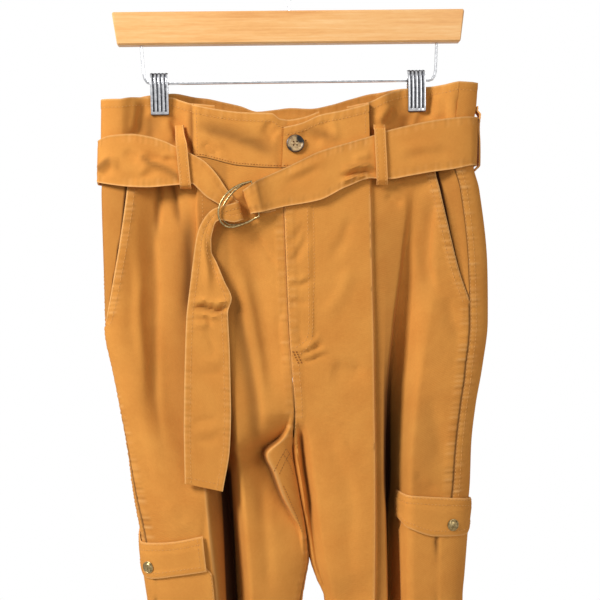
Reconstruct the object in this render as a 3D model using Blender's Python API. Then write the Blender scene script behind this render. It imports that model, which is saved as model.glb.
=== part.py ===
"""Paperbag-waist cargo trousers held flat by two clips on a wooden trouser hanger.

Frame: +Z up, the front of the trousers faces -Y, +X is the wearer's left.
The origin is the inside of the hanger hook's crest, where a rail carries it.
Sizes in this file are millimetres and become metres when a mesh is made.
"_r" and "_l" are the wearer's right and left.
"""
import math

import bpy
import numpy as np
from mathutils import Matrix, Vector

MM = 0.001

# ---------------------------------------------------------------- driving sizes
CLOTH = 1.2             # wall of every trouser panel
BELT_CLOTH = 1.8        # the belt is two plies
SEAM_GAP = 0.3          # clear space between pieces that are sewn together
WAIST_GAP = 0.6         # clear space along the curved waist seam

BAR_LENGTH = 356.0      # 14 inch hanger
BAR_TOP, BAR_BOTTOM, BAR_DEPTH = -65.0, -98.5, 12.0
ROD_Z, ROD_RADIUS = -137.0, 1.5
ROD_HALF_SPAN = 151.0   # x of the uprights
CLIP_AT, CLIP_WIDTH = {"r": -133.5, "l": 128.5}, 18.0
CLIP_TOP, CLIP_FOOT = -128.0, -169.5
HOOK_WIRE, HOOK_RADIUS = 1.6, 20.6

CROTCH_Z = -508.0
INSEAM = 660.0
HEM_Z = CROTCH_Z - INSEAM
RISE_CURVE = 78.0       # height over which the rise turns under the body
FLATNESS = 0.4          # exponent of the squashed ring: small is flat with tight side folds
PINCH_Y = 1.4           # half distance between front and back cloth inside a clip
PINCH_HALF = 12.5       # the cloth is flat this far to each side of a clip
FLY_RAISE, FLY_FOOT = 1.3, -418.0

# One row for each height: outer folds, inner ends of the two leg tubes, front and back depth.
SECTIONS = {
    "z":       [-135, -165, -200, -228, -250, -330, -385, -430, -470, -508, -550, -600, -620, -640,
                -663, -800, -1000, -1168],
    "out_r":   [-191, -192, -193, -194, -195, -194, -193, -185, -178, -172, -167.5, -160, -158, -155.5,
                -153, -151, -149, -148],
    "in_r":    [-10, -10.5, -11, -11, -11, -10, -9, -7, -5, -7, -2, 5.5, 6.8, 3.2, -1, -11, -15, -15],
    "in_l":    [-10, -10.5, -11, -11, -11, -10, -9, -7, -5, -7, -2, 6, 8, 13.8, 22.5, 30, 27, 25],
    "out_l":   [192, 189.5, 184, 185, 190, 196.5, 195.5, 189, 180.5, 175, 172.5, 166, 164, 162,
                159.5, 156, 155, 156],
    "back_in": [0, 0, 0, 0, 0, -1, -2, -3, -4, -7, -2, 5.7, 7.4, 8.8, 10, 10, 6, 5],
    "front":   [14, 17, 20, 22.5, 24, 27, 30, 32, 33, 34, 34, 34, 33.6, 33, 32, 28, 23, 19],
    "back":    [20, 21.5, 23, 24.2, 25, 27, 29, 31, 32, 32, 31, 30, 29.8, 29.4, 29, 26, 22, 19],
}

# The deep front pleat of each leg. Going away from the fly: a sharp folded edge, a sunk terrace,
# its rim, the bottom of the valley, and the shoulder where the outer leg is level again.
PLEAT_L = {
    "z":        [-200, -250, -321, -392, -463, -545, -667, -800, -1000, -1168],
    "edge":     [77, 76, 75.5, 75, 74, 73, 70, 68, 66, 66],
    "terrace":  [4, 4, 4, 5, 6, 6, 6, 4, 2, 1],
    "rim":      [92, 112, 107, 97, 91, 88, 85, 84, 84, 84],
    "bottom":   [104, 122, 113, 103, 97, 93, 91, 92, 92, 92],
    "depth":    [0, 5, 13, 25, 38, 47, 47, 30, 12, 3],
    "lip":      [130, 142, 132, 118, 107, 101, 100, 102, 102, 102],
    "shoulder": [150, 150, 146, 138, 126, 117, 113, 112, 112, 112],
}
PLEAT_R = {
    "z":        [-200, -300, -380, -440, -500, -551, -600, -660, -800, -1000, -1168],
    "edge":     [-97, -96, -98, -100, -97, -95, -91, -86, -84, -82, -82],
    "terrace":  [5, 5, 4, 1, 0, 0, 0, 0, 0, 0, 0],
    "bottom":   [-88, -88, -88, -88, -84, -82, -78, -76, -75, -74, -74],
    "depth":    [0, 0, 3, 14, 35, 47, 49, 47, 30, 12, 3],
    "shoulder": [-62, -62, -62, -62, -60, -56, -54, -52, -52, -52, -52],
}
# The crotch cloth hangs forward as a tongue: a valley, then a wall up to the tongue's ridge.
TONGUE = {
    "z":      [-400, -470, -484, -497, -513, -531, -556, -577, -592, -618, -700, -1168],
    "valley": [-30, -14, -15, -22, -38, -31, -21, -11, -6, -8, -16, -30],
    "ridge":  [-18, -9, -9, -11, -24, -20, -13, -5, 0, -2, -10, -22],
    "depth":  [0, 0, 6, 14, 24, 22, 17, 11, 6, 0, 0, 0],
}
INNER_L = {
    "z":      [-400, -480, -500, -537, -562, -603, -644, -700, -800, -1168],
    "valley": [4, 3, 3, 6, 9, 17, 27, 36, 46, 44],
    "depth":  [0, 0, 9, 13, 13, 12, 10, 6, 0, 0],
}
# Soft troughs. path is (z, x) pairs from the top down.
SOFT_FRONT = [
    # half width, depth, path
    (21, 13, [(-215, -134), (-260, -137), (-350, -141), (-450, -130), (-520, -114), (-570, -112)]),
    (9, 6, [(-150, -154), (-175, -156), (-205, -160)]),
    (10, 7, [(-172, -118), (-195, -122), (-225, -124)]),
    (10, 6, [(-166, 112), (-190, 104), (-225, 98)]),
    (12, 6, [(-168, 148), (-200, 156), (-225, 160)]),
    (13, 5, [(-285, -54), (-350, -40), (-420, -30), (-470, -26)]),
    (26, 7, [(-690, -120), (-800, -116), (-950, -118), (-1100, -118)]),
    (22, 6, [(-700, 135), (-820, 128), (-980, 130), (-1120, 132)]),
    (18, 5, [(-640, 48), (-760, 52), (-900, 50), (-1060, 52)]),
]
SOFT_BACK = [
    (18, 9, [(-215, -120), (-300, -124), (-420, -120), (-520, -112), (-620, -108), (-760, -106)]),
    (18, 9, [(-215, 122), (-300, 128), (-420, 122), (-520, 114), (-640, 110), (-780, 112)]),
    (14, 14, [(-430, -52), (-500, -56), (-580, -60), (-700, -62), (-850, -64), (-1000, -66)]),
    (14, 14, [(-440, 46), (-510, 54), (-590, 66), (-700, 76), (-850, 80), (-1000, 80)]),
    (10, 5, [(-300, -42), (-380, -34), (-450, -24)]),
    (10, 5, [(-310, 42), (-380, 34), (-450, 22)]),
]

# Side seams: millimetres from the outer fold, positive on the front.
SIDE_SEAM = {
    "z": [-135, -234, -380, -434, -490, -588, -700, -1168],
    "r": [-12, -10, -2, 6, 15, 24, 26, 16],
    "l": [26, 32, 35, 35.5, 37.5, 41, 39, 22],
}
# Inseams: millimetres from the inner fold, positive on the front.
INSEAM_AT = {
    "z": [-508, -530, -560, -610, -663, -800, -1168],
    "r": [0, 5, 10, 16, 19, 12, 4],
    "l": [0, 3, 4, 5, 5, 4, 2],
}
# Slant pocket mouths as x at z.
MOUTH = {
    "r": [(-205, -163), (-243, -167), (-289, -174), (-342, -184), (-381, -192)],
    "l": [(-200, 141), (-234, 145), (-254, 148), (-283, 154), (-333, 165), (-367, 176)],
}
MOUTH_END = {"r": -381.0, "l": -367.0}


# ---------------------------------------------------------------- smooth tables
def smooth_curve(keys, values, at):
    """A curve through the key points whose slope never overshoots (Fritsch-Carlson)."""
    keys, values = np.asarray(keys, float), np.asarray(values, float)
    if keys[0] > keys[-1]:
        keys, values = keys[::-1], values[::-1]
    at = np.clip(np.asarray(at, float), keys[0], keys[-1])
    step = np.diff(keys)
    rise = np.diff(values) / step
    slope = np.concatenate([[rise[0]], np.zeros(len(rise) - 1), [rise[-1]]])
    same = rise[:-1] * rise[1:] > 0
    with np.errstate(divide="ignore", invalid="ignore"):
        mean = 2 * rise[:-1] * rise[1:] / (rise[:-1] + rise[1:])
    slope[1:-1] = np.where(same, mean, 0.0)
    i = np.clip(np.searchsorted(keys, at, side="right") - 1, 0, len(step) - 1)
    t = (at - keys[i]) / step[i]
    return (
        values[i] * (1 + 2 * t) * (1 - t) ** 2
        + slope[i] * step[i] * t * (1 - t) ** 2
        + values[i + 1] * t * t * (3 - 2 * t)
        + slope[i + 1] * step[i] * t * t * (t - 1)
    )


def column(table, name, z):
    return smooth_curve(table["z"], table[name], z)


def ramp(a, b, x):
    """0 before a, 1 after b, smooth between."""
    t = np.clip((np.asarray(x, float) - a) / (b - a), 0.0, 1.0)
    return t * t * (3 - 2 * t)


# ---------------------------------------------------------------- the garment's form
def soft_troughs(folds, x, z):
    total = np.zeros_like(x)
    for half_width, depth, path in folds:
        heights = [p[0] for p in path]
        centre = smooth_curve(heights, [p[1] for p in path], z)
        run = 0.35 * (heights[0] - heights[-1])
        strength = ramp(heights[0] + 14, heights[0] - 20, z) * ramp(heights[-1], heights[-1] + run, z)
        total = total + depth * strength * np.exp(-(((x - centre) / half_width) ** 2))
    return total


def front_folds(side, x, z):
    """How far the front cloth lies behind the smooth ring, at x along one section."""
    if side == "l":
        edge, rim = column(PLEAT_L, "edge", z), column(PLEAT_L, "rim", z)
        bottom, shoulder = column(PLEAT_L, "bottom", z), column(PLEAT_L, "shoulder", z)
        terrace, depth = column(PLEAT_L, "terrace", z), column(PLEAT_L, "depth", z)
        level = terrace * ramp(edge, edge + 2.0, x)
        level = level + (depth - terrace) * ramp(rim, bottom, x)
        level = level * (1 - ramp(bottom, shoulder, x))
        inner = column(INNER_L, "valley", z)
        wall = np.where(x < inner, ramp(inner - 6.5, inner, x), 1 - ramp(inner, inner + 9, x))
        level = level + column(INNER_L, "depth", z) * wall
        level = level - FLY_RAISE * ramp(FLY_FOOT, FLY_FOOT + 8, z) * (1 - ramp(14, 17, x))
    else:
        edge, bottom = column(PLEAT_R, "edge", z), column(PLEAT_R, "bottom", z)
        shoulder, depth = column(PLEAT_R, "shoulder", z), column(PLEAT_R, "depth", z)
        level = depth * ramp(edge, bottom, x) * (1 - ramp(bottom, shoulder, x))
        tuck = ramp(edge, edge - 2.0, x) * ramp(edge - 42, edge - 6, x)
        level = level + column(PLEAT_R, "terrace", z) * tuck
        valley, ridge = column(TONGUE, "valley", z), column(TONGUE, "ridge", z)
        wall = np.where(x < valley, np.exp(-(((x - valley) / 26) ** 2)), 1 - ramp(valley, ridge, x))
        level = level + column(TONGUE, "depth", z) * wall
    return level + soft_troughs(SOFT_FRONT, x, z)


def under_body(z):
    """0 above the rise curve, 1 at the crotch and below it."""
    up = np.clip((z - CROTCH_Z) / RISE_CURVE, 0.0, 1.0)
    bulge = math.sqrt(max(0.0, 1 - (1 - up) ** 2))
    return 2 / math.pi * math.acos(min(1.0, bulge ** (1 / FLATNESS)))


def centre_gap(z):
    """Distance from the middle plane to a leg tube's inner end."""
    return SEAM_GAP / 2 + 0.75 * under_body(z)


def pinch(x, z):
    """1 inside a clip, fading down and sideways."""
    away = np.minimum(np.abs(x - CLIP_AT["r"]), np.abs(x - CLIP_AT["l"]))
    return ramp(-262, -172, z) * (1 - ramp(PINCH_HALF, PINCH_HALF + 28, away))


DENSE = 260


def half_profile(side, face, z, folds=True, pinched=True):
    """Points from the outer fold to the inner end, on the front or the back, at one height."""
    outer = float(column(SECTIONS, "out_" + side, z))
    sign = 1.0 if side == "r" else -1.0
    inner = float(column(SECTIONS, "in_" + side, z))
    turn = under_body(z)
    if face == "back":
        middle = float(column(SECTIONS, "back_in", z))
        inner = middle + (inner - middle) * turn
    inner = inner - sign * centre_gap(z)
    last = math.pi / 2 * (1 + turn)
    angle = last * np.linspace(0, 1, DENSE)
    x = outer + (inner - outer) * (1 - np.cos(angle)) / (1 - math.cos(last))
    swell = np.clip(np.sin(angle), 0.0, 1.0) ** FLATNESS
    depth = float(column(SECTIONS, face, z))
    y = depth * swell
    if folds:
        away = 1 - (1 - ramp(0.0, 14.0, np.abs(x - outer)))
        closing = 1 - turn * (1 - ramp(0.0, 5.0, np.abs(x - inner)))
        inward = front_folds(side, x, z) if face == "front" else soft_troughs(SOFT_BACK, x, z)
        y = y - inward * away * closing
    near = pinch(x, z) * pinched
    y = y * (1 - near) + PINCH_Y * near * ramp(0.0, 10.0, np.abs(x - outer))
    return np.stack([x, -y if face == "front" else y], axis=1)


_loops = {}


def loop_at(side, z, folds=True, pinched=True):
    """The section as one line: back inner end, outer fold, front inner end, with its lengths."""
    key = (side, round(float(z) * 2), folds, pinched)
    if key not in _loops:
        height = key[1] / 2
        front = half_profile(side, "front", height, folds, pinched)
        back = half_profile(side, "back", height, folds, pinched)
        front_run = np.concatenate([[0], np.cumsum(np.linalg.norm(np.diff(front, axis=0), axis=1))])
        back_run = np.concatenate([[0], np.cumsum(np.linalg.norm(np.diff(back, axis=0), axis=1))])
        line = np.concatenate([back[::-1], front[1:]])
        at = np.concatenate([-back_run[::-1], front_run[1:]])
        _loops[key] = (at, line, back_run[-1], front_run[-1], front, front_run, back, back_run)
    return _loops[key]


def skin(side, z, s, folds=True, pinched=True):
    """The point s millimetres from the outer fold, positive on the front. Past the inner end
    of a closed leg tube the line goes on along the other face."""
    at, line, back_length, front_length = loop_at(side, z, folds, pinched)[:4]
    if z <= CROTCH_Z and s < -back_length:
        s = front_length + (s + back_length)
    elif z <= CROTCH_Z and s > front_length:
        s = -back_length + (s - front_length)
    return np.array([np.interp(s, at, line[:, 0]), np.interp(s, at, line[:, 1]), z])


def s_end(side, z, face, folds=True):
    lengths = loop_at(side, z, folds)
    return lengths[3] if face == "front" else -lengths[2]


def skin_normal(side, z, s, folds=True, pinched=True):
    """The way out of the skin, taken over a short stretch so that neighbours across a seam agree."""
    face = "front" if s > 0 else "back"
    ahead = skin(side, z, s + 2.0, folds, pinched) - skin(side, z, s - 2.0, folds, pinched)
    share = s / s_end(side, z, face, folds)
    higher = skin(side, z + 5, share * s_end(side, z + 5, face, folds), folds, pinched)
    lower = skin(side, z - 5, share * s_end(side, z - 5, face, folds), folds, pinched)
    n = np.cross(ahead, lower - higher)
    n = n / max(np.linalg.norm(n), 1e-9)
    return -n if side == "r" else n


def s_at_x(side, z, x, folds=True, face="front", pinched=True):
    kept = loop_at(side, z, folds, pinched)
    line, run = kept[4:6] if face == "front" else kept[6:8]
    order = slice(None) if side == "r" else slice(None, None, -1)
    distance = float(np.interp(x, line[order, 0], run[order]))
    return distance if face == "front" else -distance


# ---------------------------------------------------------------- walls
def grid_normals(grid, flip):
    n = np.cross(np.gradient(grid, axis=1), np.gradient(grid, axis=0))
    n = n / np.maximum(np.linalg.norm(n, axis=2, keepdims=True), 1e-9)
    return -n if flip else n


def wall(name, grid, thickness, finish, flip, normals=None, relief=0.0):
    """A closed wall around a grid of points. flip turns which side is outside.
    relief moves the outer points further out."""
    n = grid_normals(grid, flip) if normals is None else normals
    relief = np.broadcast_to(relief, grid.shape[:2])[..., None]
    outer = grid + n * (thickness / 2 + relief)
    inner = grid - n * (thickness / 2)
    rows, cols = outer.shape[:2]
    points = np.concatenate([outer.reshape(-1, 3), inner.reshape(-1, 3)])
    inside = rows * cols
    faces = []
    for i in range(rows - 1):
        for j in range(cols - 1):
            a, b, c, d = i * cols + j, i * cols + j + 1, (i + 1) * cols + j + 1, (i + 1) * cols + j
            faces += [(a, b, c), (a, c, d)]
            faces += [(inside + c, inside + b, inside + a), (inside + d, inside + c, inside + a)]
    for j in range(cols - 1):
        foot = (rows - 1) * cols + j
        faces.append((j + 1, j, inside + j, inside + j + 1))
        faces.append((foot, foot + 1, inside + foot + 1, inside + foot))
    for i in range(rows - 1):
        left, right = i * cols, i * cols + cols - 1
        faces.append((left, left + cols, inside + left + cols, inside + left))
        faces.append((right + cols, right, inside + right, inside + right + cols))
    if flip:
        faces = [f[::-1] for f in faces]
    return add_mesh(name, points, faces, finish)


def add_mesh(name, points, faces, finish):
    mesh = bpy.data.meshes.new(name)
    mesh.from_pydata([tuple(float(v) * MM for v in p) for p in points], [], faces)
    mesh.materials.append(finish)
    mesh.shade_smooth()
    mesh.set_sharp_from_angle(angle=math.radians(40))
    part = bpy.data.objects.new(name, mesh)
    bpy.context.scene.collection.objects.link(part)
    return part


def make_finish(name, colour, roughness, metallic=0.0):
    finish = bpy.data.materials.new(name)
    finish.use_nodes = True
    shader = finish.node_tree.nodes["Principled BSDF"]
    shader.inputs["Base Color"].default_value = (*colour, 1.0)
    shader.inputs["Roughness"].default_value = roughness
    shader.inputs["Metallic"].default_value = metallic
    return finish


def spread(stops, counts):
    """Values from stop to stop, each stretch cut into its count."""
    out = [stops[0]]
    for a, b, n in zip(stops[:-1], stops[1:], counts):
        out.extend(a + (b - a) * (i + 1) / n for i in range(n))
    return out


# ---------------------------------------------------------------- waist heights
WAIST_SEAM_FRONT = [(-195, -212), (-140, -212), (-96, -214), (-54, -224), (-11, -227), (20, -226),
                    (75, -214), (140, -206), (198, -203)]
WAIST_SEAM_BACK = [(-195, -212), (-90, -214), (0, -217), (90, -210), (198, -203)]


def along(pairs, x):
    return smooth_curve([p[0] for p in pairs], [p[1] for p in pairs], x)


# ---------------------------------------------------------------- leg panels
LEG_ROWS = [-212, -234, -262, -294, -326, "mouth 30", "mouth 13", "mouth 0", -410, -438, -460,
            -480, -494, -503, CROTCH_Z, -514, -524, -537, -556, -577, -600, -632, -664, -694,
            -730, -800, -920, -1050, -1146, HEM_Z]
HEM_DEPTH = 22.0
POCKET_BACK_EDGE = {"r": -36.0, "l": -20.0}


def mouth_x(side, z):
    return float(smooth_curve([m[0] for m in MOUTH[side]], [m[1] for m in MOUTH[side]], z))


def front_stops(side, z):
    """Places along one section where the front panel's columns are held."""
    seam = float(column(SIDE_SEAM, side, z))
    if z > MOUTH_END[side]:
        seam = s_at_x(side, z, mouth_x(side, z))
    last = s_end(side, z, "front")
    if z <= CROTCH_Z:
        last = last - float(column(INSEAM_AT, side, z)) - SEAM_GAP / 2
    if side == "l":
        edge = float(column(PLEAT_L, "edge", z))
        marks = [column(PLEAT_L, "lip", z), column(PLEAT_L, "bottom", z), column(PLEAT_L, "rim", z),
                 edge + 2.4, edge, column(INNER_L, "valley", z) + 9, column(INNER_L, "valley", z)]
    else:
        edge = float(column(PLEAT_R, "edge", z))
        marks = [edge - 2.4, edge, column(PLEAT_R, "bottom", z), column(PLEAT_R, "shoulder", z),
                 column(TONGUE, "valley", z), column(TONGUE, "ridge", z)]
    stops = [seam + SEAM_GAP / 2] + [s_at_x(side, z, float(m)) for m in marks] + [last]
    if side == "r":
        stops.insert(1, max(stops[0] + 9, 24.0))
    for i in range(1, len(stops)):
        stops[i] = max(stops[i], stops[i - 1] + 1.6)
    for i in range(len(stops) - 1, 0, -1):
        stops[i] = min(stops[i], last - 1.6 * (len(stops) - 1 - i))
    return stops


def back_stops(side, z):
    first = s_end(side, z, "back")
    if z <= CROTCH_Z:
        first = first - float(column(INSEAM_AT, side, z)) + SEAM_GAP / 2
    return [first, POCKET_BACK_EDGE[side], float(column(SIDE_SEAM, side, z)) - SEAM_GAP / 2]


FRONT_COLUMNS = {"r": [3, 4, 1, 2, 2, 3, 1, 2], "l": [4, 2, 2, 1, 1, 4, 1, 2]}
BACK_COLUMNS = [7, 6]


def leg_rows(side):
    rows = []
    for z in LEG_ROWS:
        rows.append(MOUTH_END[side] + float(z.split()[1]) if isinstance(z, str) else z)
    return rows


def skin_grid(side, rows, stops_at, counts, seam_line):
    """Points and normals, a row for each height. The first rows bend to follow the waist seam."""
    grid, normals = [], []
    for z in rows:
        line, out = [], []
        bend = float(ramp(-300, -212, z))
        for s in spread(stops_at(side, z), counts):
            height, place = z, s
            if bend > 0:
                x = skin(side, z, s)[0]
                height = z + (float(along(seam_line, x)) + 212 - WAIST_GAP) * bend
                face = "front" if s > 0 else "back"
                place = s * s_end(side, height, face) / s_end(side, z, face)
            line.append(skin(side, height, place))
            out.append(skin_normal(side, height, place))
        grid.append(line)
        normals.append(out)
    return np.array(grid), np.array(normals)


def hem_relief(grid):
    """The turned-up hem doubles the cloth."""
    return 0.8 * ramp(HEM_Z + HEM_DEPTH + 8, HEM_Z + HEM_DEPTH, grid[..., 2])


def leg_panels(side, finish):
    front, front_out = skin_grid(side, leg_rows(side), front_stops, FRONT_COLUMNS[side], WAIST_SEAM_FRONT)
    back, back_out = skin_grid(side, leg_rows(side), back_stops, BACK_COLUMNS, WAIST_SEAM_BACK)
    wall("front_" + side, front, CLOTH, finish, side == "r", front_out, hem_relief(front))
    wall("back_" + side, back, CLOTH, finish, side == "r", back_out, hem_relief(back))
    return np.concatenate([back, front], axis=1), np.concatenate([back_out, front_out], axis=1)


def pocket_facing(side, finish):
    """The cloth behind a slant pocket's mouth, from under the front panel to the side seam."""
    under, sink = 11.0, 3.0

    def stops(side, z):
        seam = float(column(SIDE_SEAM, side, z)) + SEAM_GAP / 2
        return [seam, max(s_at_x(side, z, mouth_x(side, z)) + under, seam + under)]
    rows = leg_rows(side)[:7] + ([MOUTH_END[side] + 4] if side == "l" else [])
    grid, out = skin_grid(side, rows, stops, [5], WAIST_SEAM_FRONT)
    blend = np.tile(ramp(0, 2, np.arange(6)), (len(rows), 1))
    blend[6:] = 1
    wall("pocket_facing_" + side, grid - out * (sink * blend)[..., None], CLOTH, finish, side == "r", out)


# ---------------------------------------------------------------- waistband
# x, depth behind the ring, top edge. A number alone in the x place is on the front face.
BAND_FRONT_R = [
    (-172, 0, -154), (-160, 0, -151.5), (-146, 0, -151), (-131, 0, -151), (-121, 0.5, -151.5),
    (-112, 2, -155), (-101, 5.2, -159), (-89, 5.2, -161), (-78, 5.2, -162),
    (-78, 2.6, -162), (-99, 2.6, -160),
    (-100, 0, -161), (-89, 0, -164), (-77, 0, -166.5), (-53, 0, -170), (-36, 0, -171), (-21, 0, -171.5),
    (-13, 1.6, -177), (-4, 3.4, -178), (10, 3.4, -176), (27, 3.4, -170),
]
BAND_FRONT_L = [
    (158, 0, -143), (145, 0, -144), (131, 0, -144.5), (119, 0, -145.5),
    (105, 0.5, -149), (96, 2, -152.5), (87, 4.4, -157), (77, 5.2, -161), (66, 5.2, -163), (56, 5.2, -165),
    (56, 2.6, -165), (76, 2.6, -162),
    (77, 0, -163), (64, 0, -166.5), (49, 0, -170), (28, 0, -174), (9, 0, -182), (-9, 0, -186),
]
BAND_BACK = [
    (-170, 0, -152), (-155, 0, -150), (-143, 0, -148.5), (-131, 0, -147.5), (-119, 0, -147),
    (-104, 0.8, -148), (-89, 0, -149), (-70, 0, -153), (-52, 0, -157.3), (-34, 0, -163.2),
    (-17, 0, -161.7), (0, 0, -160),
    (21, 0, -161), (42, 0, -157.5), (63, 0, -151.8), (88, 0, -146.3), (104, 0.8, -145.5), (119, 0, -145),
    (131, 0, -144.5), (143, 0, -143.7), (155, 0, -143.7), (170, 0, -142.7),
]
BAND_ROWS = [0.0, 0.16, 0.45, 0.75, 1.0]


def on_face(face, x, z):
    """The smooth ring at x with the clips' pinch but no pleats."""
    side = "r" if x < float(column(SECTIONS, "in_r", z)) else "l"
    p = skin(side, z, s_at_x(side, z, x, False, face), False)
    if face == "front":
        p[1] += float(soft_troughs(SOFT_FRONT, np.array([x]), z)[0]) * float(1 - pinch(np.array([x]), z)[0])
    return p


def band(name, face, table, seams, finish):
    """A stretch of waistband from its table, with the side seams' ends added."""
    grid, ends = [], []
    for v in BAND_ROWS:
        line = []
        for x, depth, top in table:
            low = float(along(WAIST_SEAM_FRONT if face == "front" else WAIST_SEAM_BACK, x))
            lean = -3.0 * v if (name == "waistband_front_l" and x < 0) else 0.0
            p = on_face(face, x + lean, top + (low - top) * v)
            p[1] += depth if face == "front" else -depth
            line.append(p)
        for side, at_start in seams:
            top = -153.0 if side == "r" else -140.5
            low = -212.0 if side == "r" else -203.0
            z = top + (low - top) * v
            gap = SEAM_GAP / 2 if face == "front" else -SEAM_GAP / 2
            seam = float(column(SIDE_SEAM, side, z)) + gap
            nearest = s_at_x(side, z, (table[0] if at_start else table[-1])[0], False, face)
            extra = [seam + (nearest - seam) * f for f in (0, 0.2, 0.45, 0.7)]
            added = [skin(side, z, s, False) for s in extra]
            ends.append((len(grid), at_start, skin_normal(side, z, seam, False)))
            line = added + line if at_start else line + added[::-1]
        grid.append(line)
    grid = np.array(grid)
    flip = name == "waistband_front_r"
    normals = grid_normals(grid, flip)
    for row, at_start, out in ends:
        normals[row, 0 if at_start else -1] = out
    wall(name, grid, CLOTH, finish, flip, normals)


# ---------------------------------------------------------------- belt
# One strip, from the end sewn round the rings, round the body, through the rings and down.
# "free" rows give both edges as x, z and a shared y.
BELT_END = [
    # top x, top z, bottom x, bottom z, y
    (-24, -236, -19, -270, -26.8), (-33, -240.5, -27, -272, -26.8), (-43, -245.5, -37.5, -272.5, -26.8),
    (-49, -249, -42, -273, -27.8), (-51.5, -250, -43.5, -273.5, -31.4), (-49.5, -249, -42.5, -273, -35.2),
    (-44, -245, -38, -272.5, -36.4), (-38, -241, -32, -271.5, -35.6), (-32, -238, -26, -270, -32.6),
    (-24, -234.5, -18, -268, -30.6), (-10, -228.5, -8, -266, -29.8), (6, -221, 6, -264, -29.2),
]
BELT_FRONT_L = [
    # top x, top z, bottom x, bottom z, out from the body
    (24, -213, 24, -261, 5.6), (52, -204.5, 52, -248, 4.6), (78, -197, 77, -240, 3.4),
    (97, -191, 97, -240.5, 3.2), (114, -187, 114, -238, 3.2), (136, -182.5, 138, -234, 3.2),
    (160, -179, 161, -231, 3.2),
]
BELT_ROUND = [
    # side, distance from the outer fold, top z, bottom z
    ("l", 14, -177, -227), ("l", 5, -176.5, -226.5), ("l", -4, -176.5, -226), ("l", -14, -176.5, -226),
    ("l", -30, -176.5, -226.5), ("l", -60, -177, -228), ("l", -95, -179, -230), ("l", -135, -181.5, -232),
    ("l", -175, -183, -233.5), ("r", -185, -183.5, -234), ("r", -150, -184.5, -235),
    ("r", -115, -186, -236),
    ("r", -80, -188, -237), ("r", -58, -189.5, -238), ("r", -42, -191, -238),
    ("r", -26, -192, -238.5), ("r", -14, -193.5, -238.5), ("r", -6, -194.5, -238.5),
    ("r", 2, -195.5, -235.5), ("r", 10, -194.5, -237.5),
]
BELT_FRONT_R = [
    (-183, -191.5, -183, -240.5, 3.2), (-163, -190.5, -163, -243.5, 3.2), (-144, -193.5, -144, -244.5, 3.2),
    (-129, -198.5, -127, -243.5, 3.2), (-117, -204.5, -113, -242.5, 3.2), (-105, -210.5, -102, -242, 3.2),
    (-90, -219, -96, -247, 3.6),
]
BELT_TAIL = [
    (-77, -233, -88, -255, -27.0), (-67.5, -248, -77, -262, -27.2), (-63.5, -253, -69, -268, -27.4),
    (-60, -257, -60, -275, -27.6), (-57.5, -260, -53, -278.5, -28.6), (-56.5, -261, -52, -279, -31.3),
    (-58, -261.5, -53.5, -279.5, -34), (-63, -263, -61, -281.5, -35), (-69, -264.5, -68.5, -280, -35),
    (-75.5, -266, -74.5, -279, -34.8), (-82, -268.5, -79, -281, -33.2), (-89, -275, -82, -289, -32),
    (-95, -285, -84, -299, -31.6), (-99, -298, -84, -309, -31.4), (-102, -316, -79, -321, -31.6),
    (-105, -337, -72, -339, -32.2), (-108, -358, -65, -357, -33), (-110, -374, -69, -371, -33.6),
    (-112, -408, -68, -415, -34.6), (-114, -457, -68, -461, -36), (-115, -497, -70, -503, -37.4),
    (-115, -540, -78, -549, -38.6),
]
BELT_PLIES = 5


def on_body(side, z, s, out):
    """Where a strip lies over the body: it bridges the clips' pinch."""
    return skin(side, z, s, False, False) + skin_normal(side, z, s, False, False) * out


def belt_station(row, kind):
    if kind == "free":
        return np.array([row[0], row[4], row[1]]), np.array([row[2], row[4], row[3]])
    if kind == "round":
        side, s, top, low = row
        return on_body(side, top, s, 3.2), on_body(side, low, s, 3.2)
    side = "r" if row[0] < -5 else "l"
    ends = []
    for x, z in (row[:2], row[2:4]):
        s = s_at_x(side, z, x, False, "front", False)
        ends.append(on_body(side, z, s, row[4]))
    return ends[0], ends[1]


def belt(finish):
    stations = [belt_station(r, "free") for r in BELT_END]
    stations += [belt_station(r, "front") for r in BELT_FRONT_L]
    stations += [belt_station(r, "round") for r in BELT_ROUND]
    stations += [belt_station(r, "front") for r in BELT_FRONT_R]
    stations += [belt_station(r, "free") for r in BELT_TAIL]
    across = np.linspace(0, 1, BELT_PLIES)[:, None, None]
    top, low = np.array([s[0] for s in stations]), np.array([s[1] for s in stations])
    wall("belt", top[None] * (1 - across) + low[None] * across, BELT_CLOTH, finish, False)


# side, face, x at top and foot, top and foot, top and foot of the belt under it, standing off
LOOPS = {
    "belt_loop_front_r": ("r", "front", -113, -108, -181, -246, -206, -242.5, 0.0),
    "belt_loop_front_l": ("l", "front", 87, 88, -185, -246, -193, -241, 0.0),
    "belt_loop_side_l": ("l", "fold", 0, 0, -165, -231, -176, -226.5, 2.2),
    "belt_loop_side_r": ("r", "fold", -34, -34, -181, -244, -191.5, -238.5, 0.0),
    "belt_loop_back": ("r", "back", -6, -6, -174, -240, -183, -234, 0.0),
}
LOOP_WIDTH, LOOP_CLOTH = 11.0, 1.6
SEATED = CLOTH / 2 + SEAM_GAP + LOOP_CLOTH / 2
OVER_BELT = 3.2 + BELT_CLOTH / 2 + 0.5 + LOOP_CLOTH / 2


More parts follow.
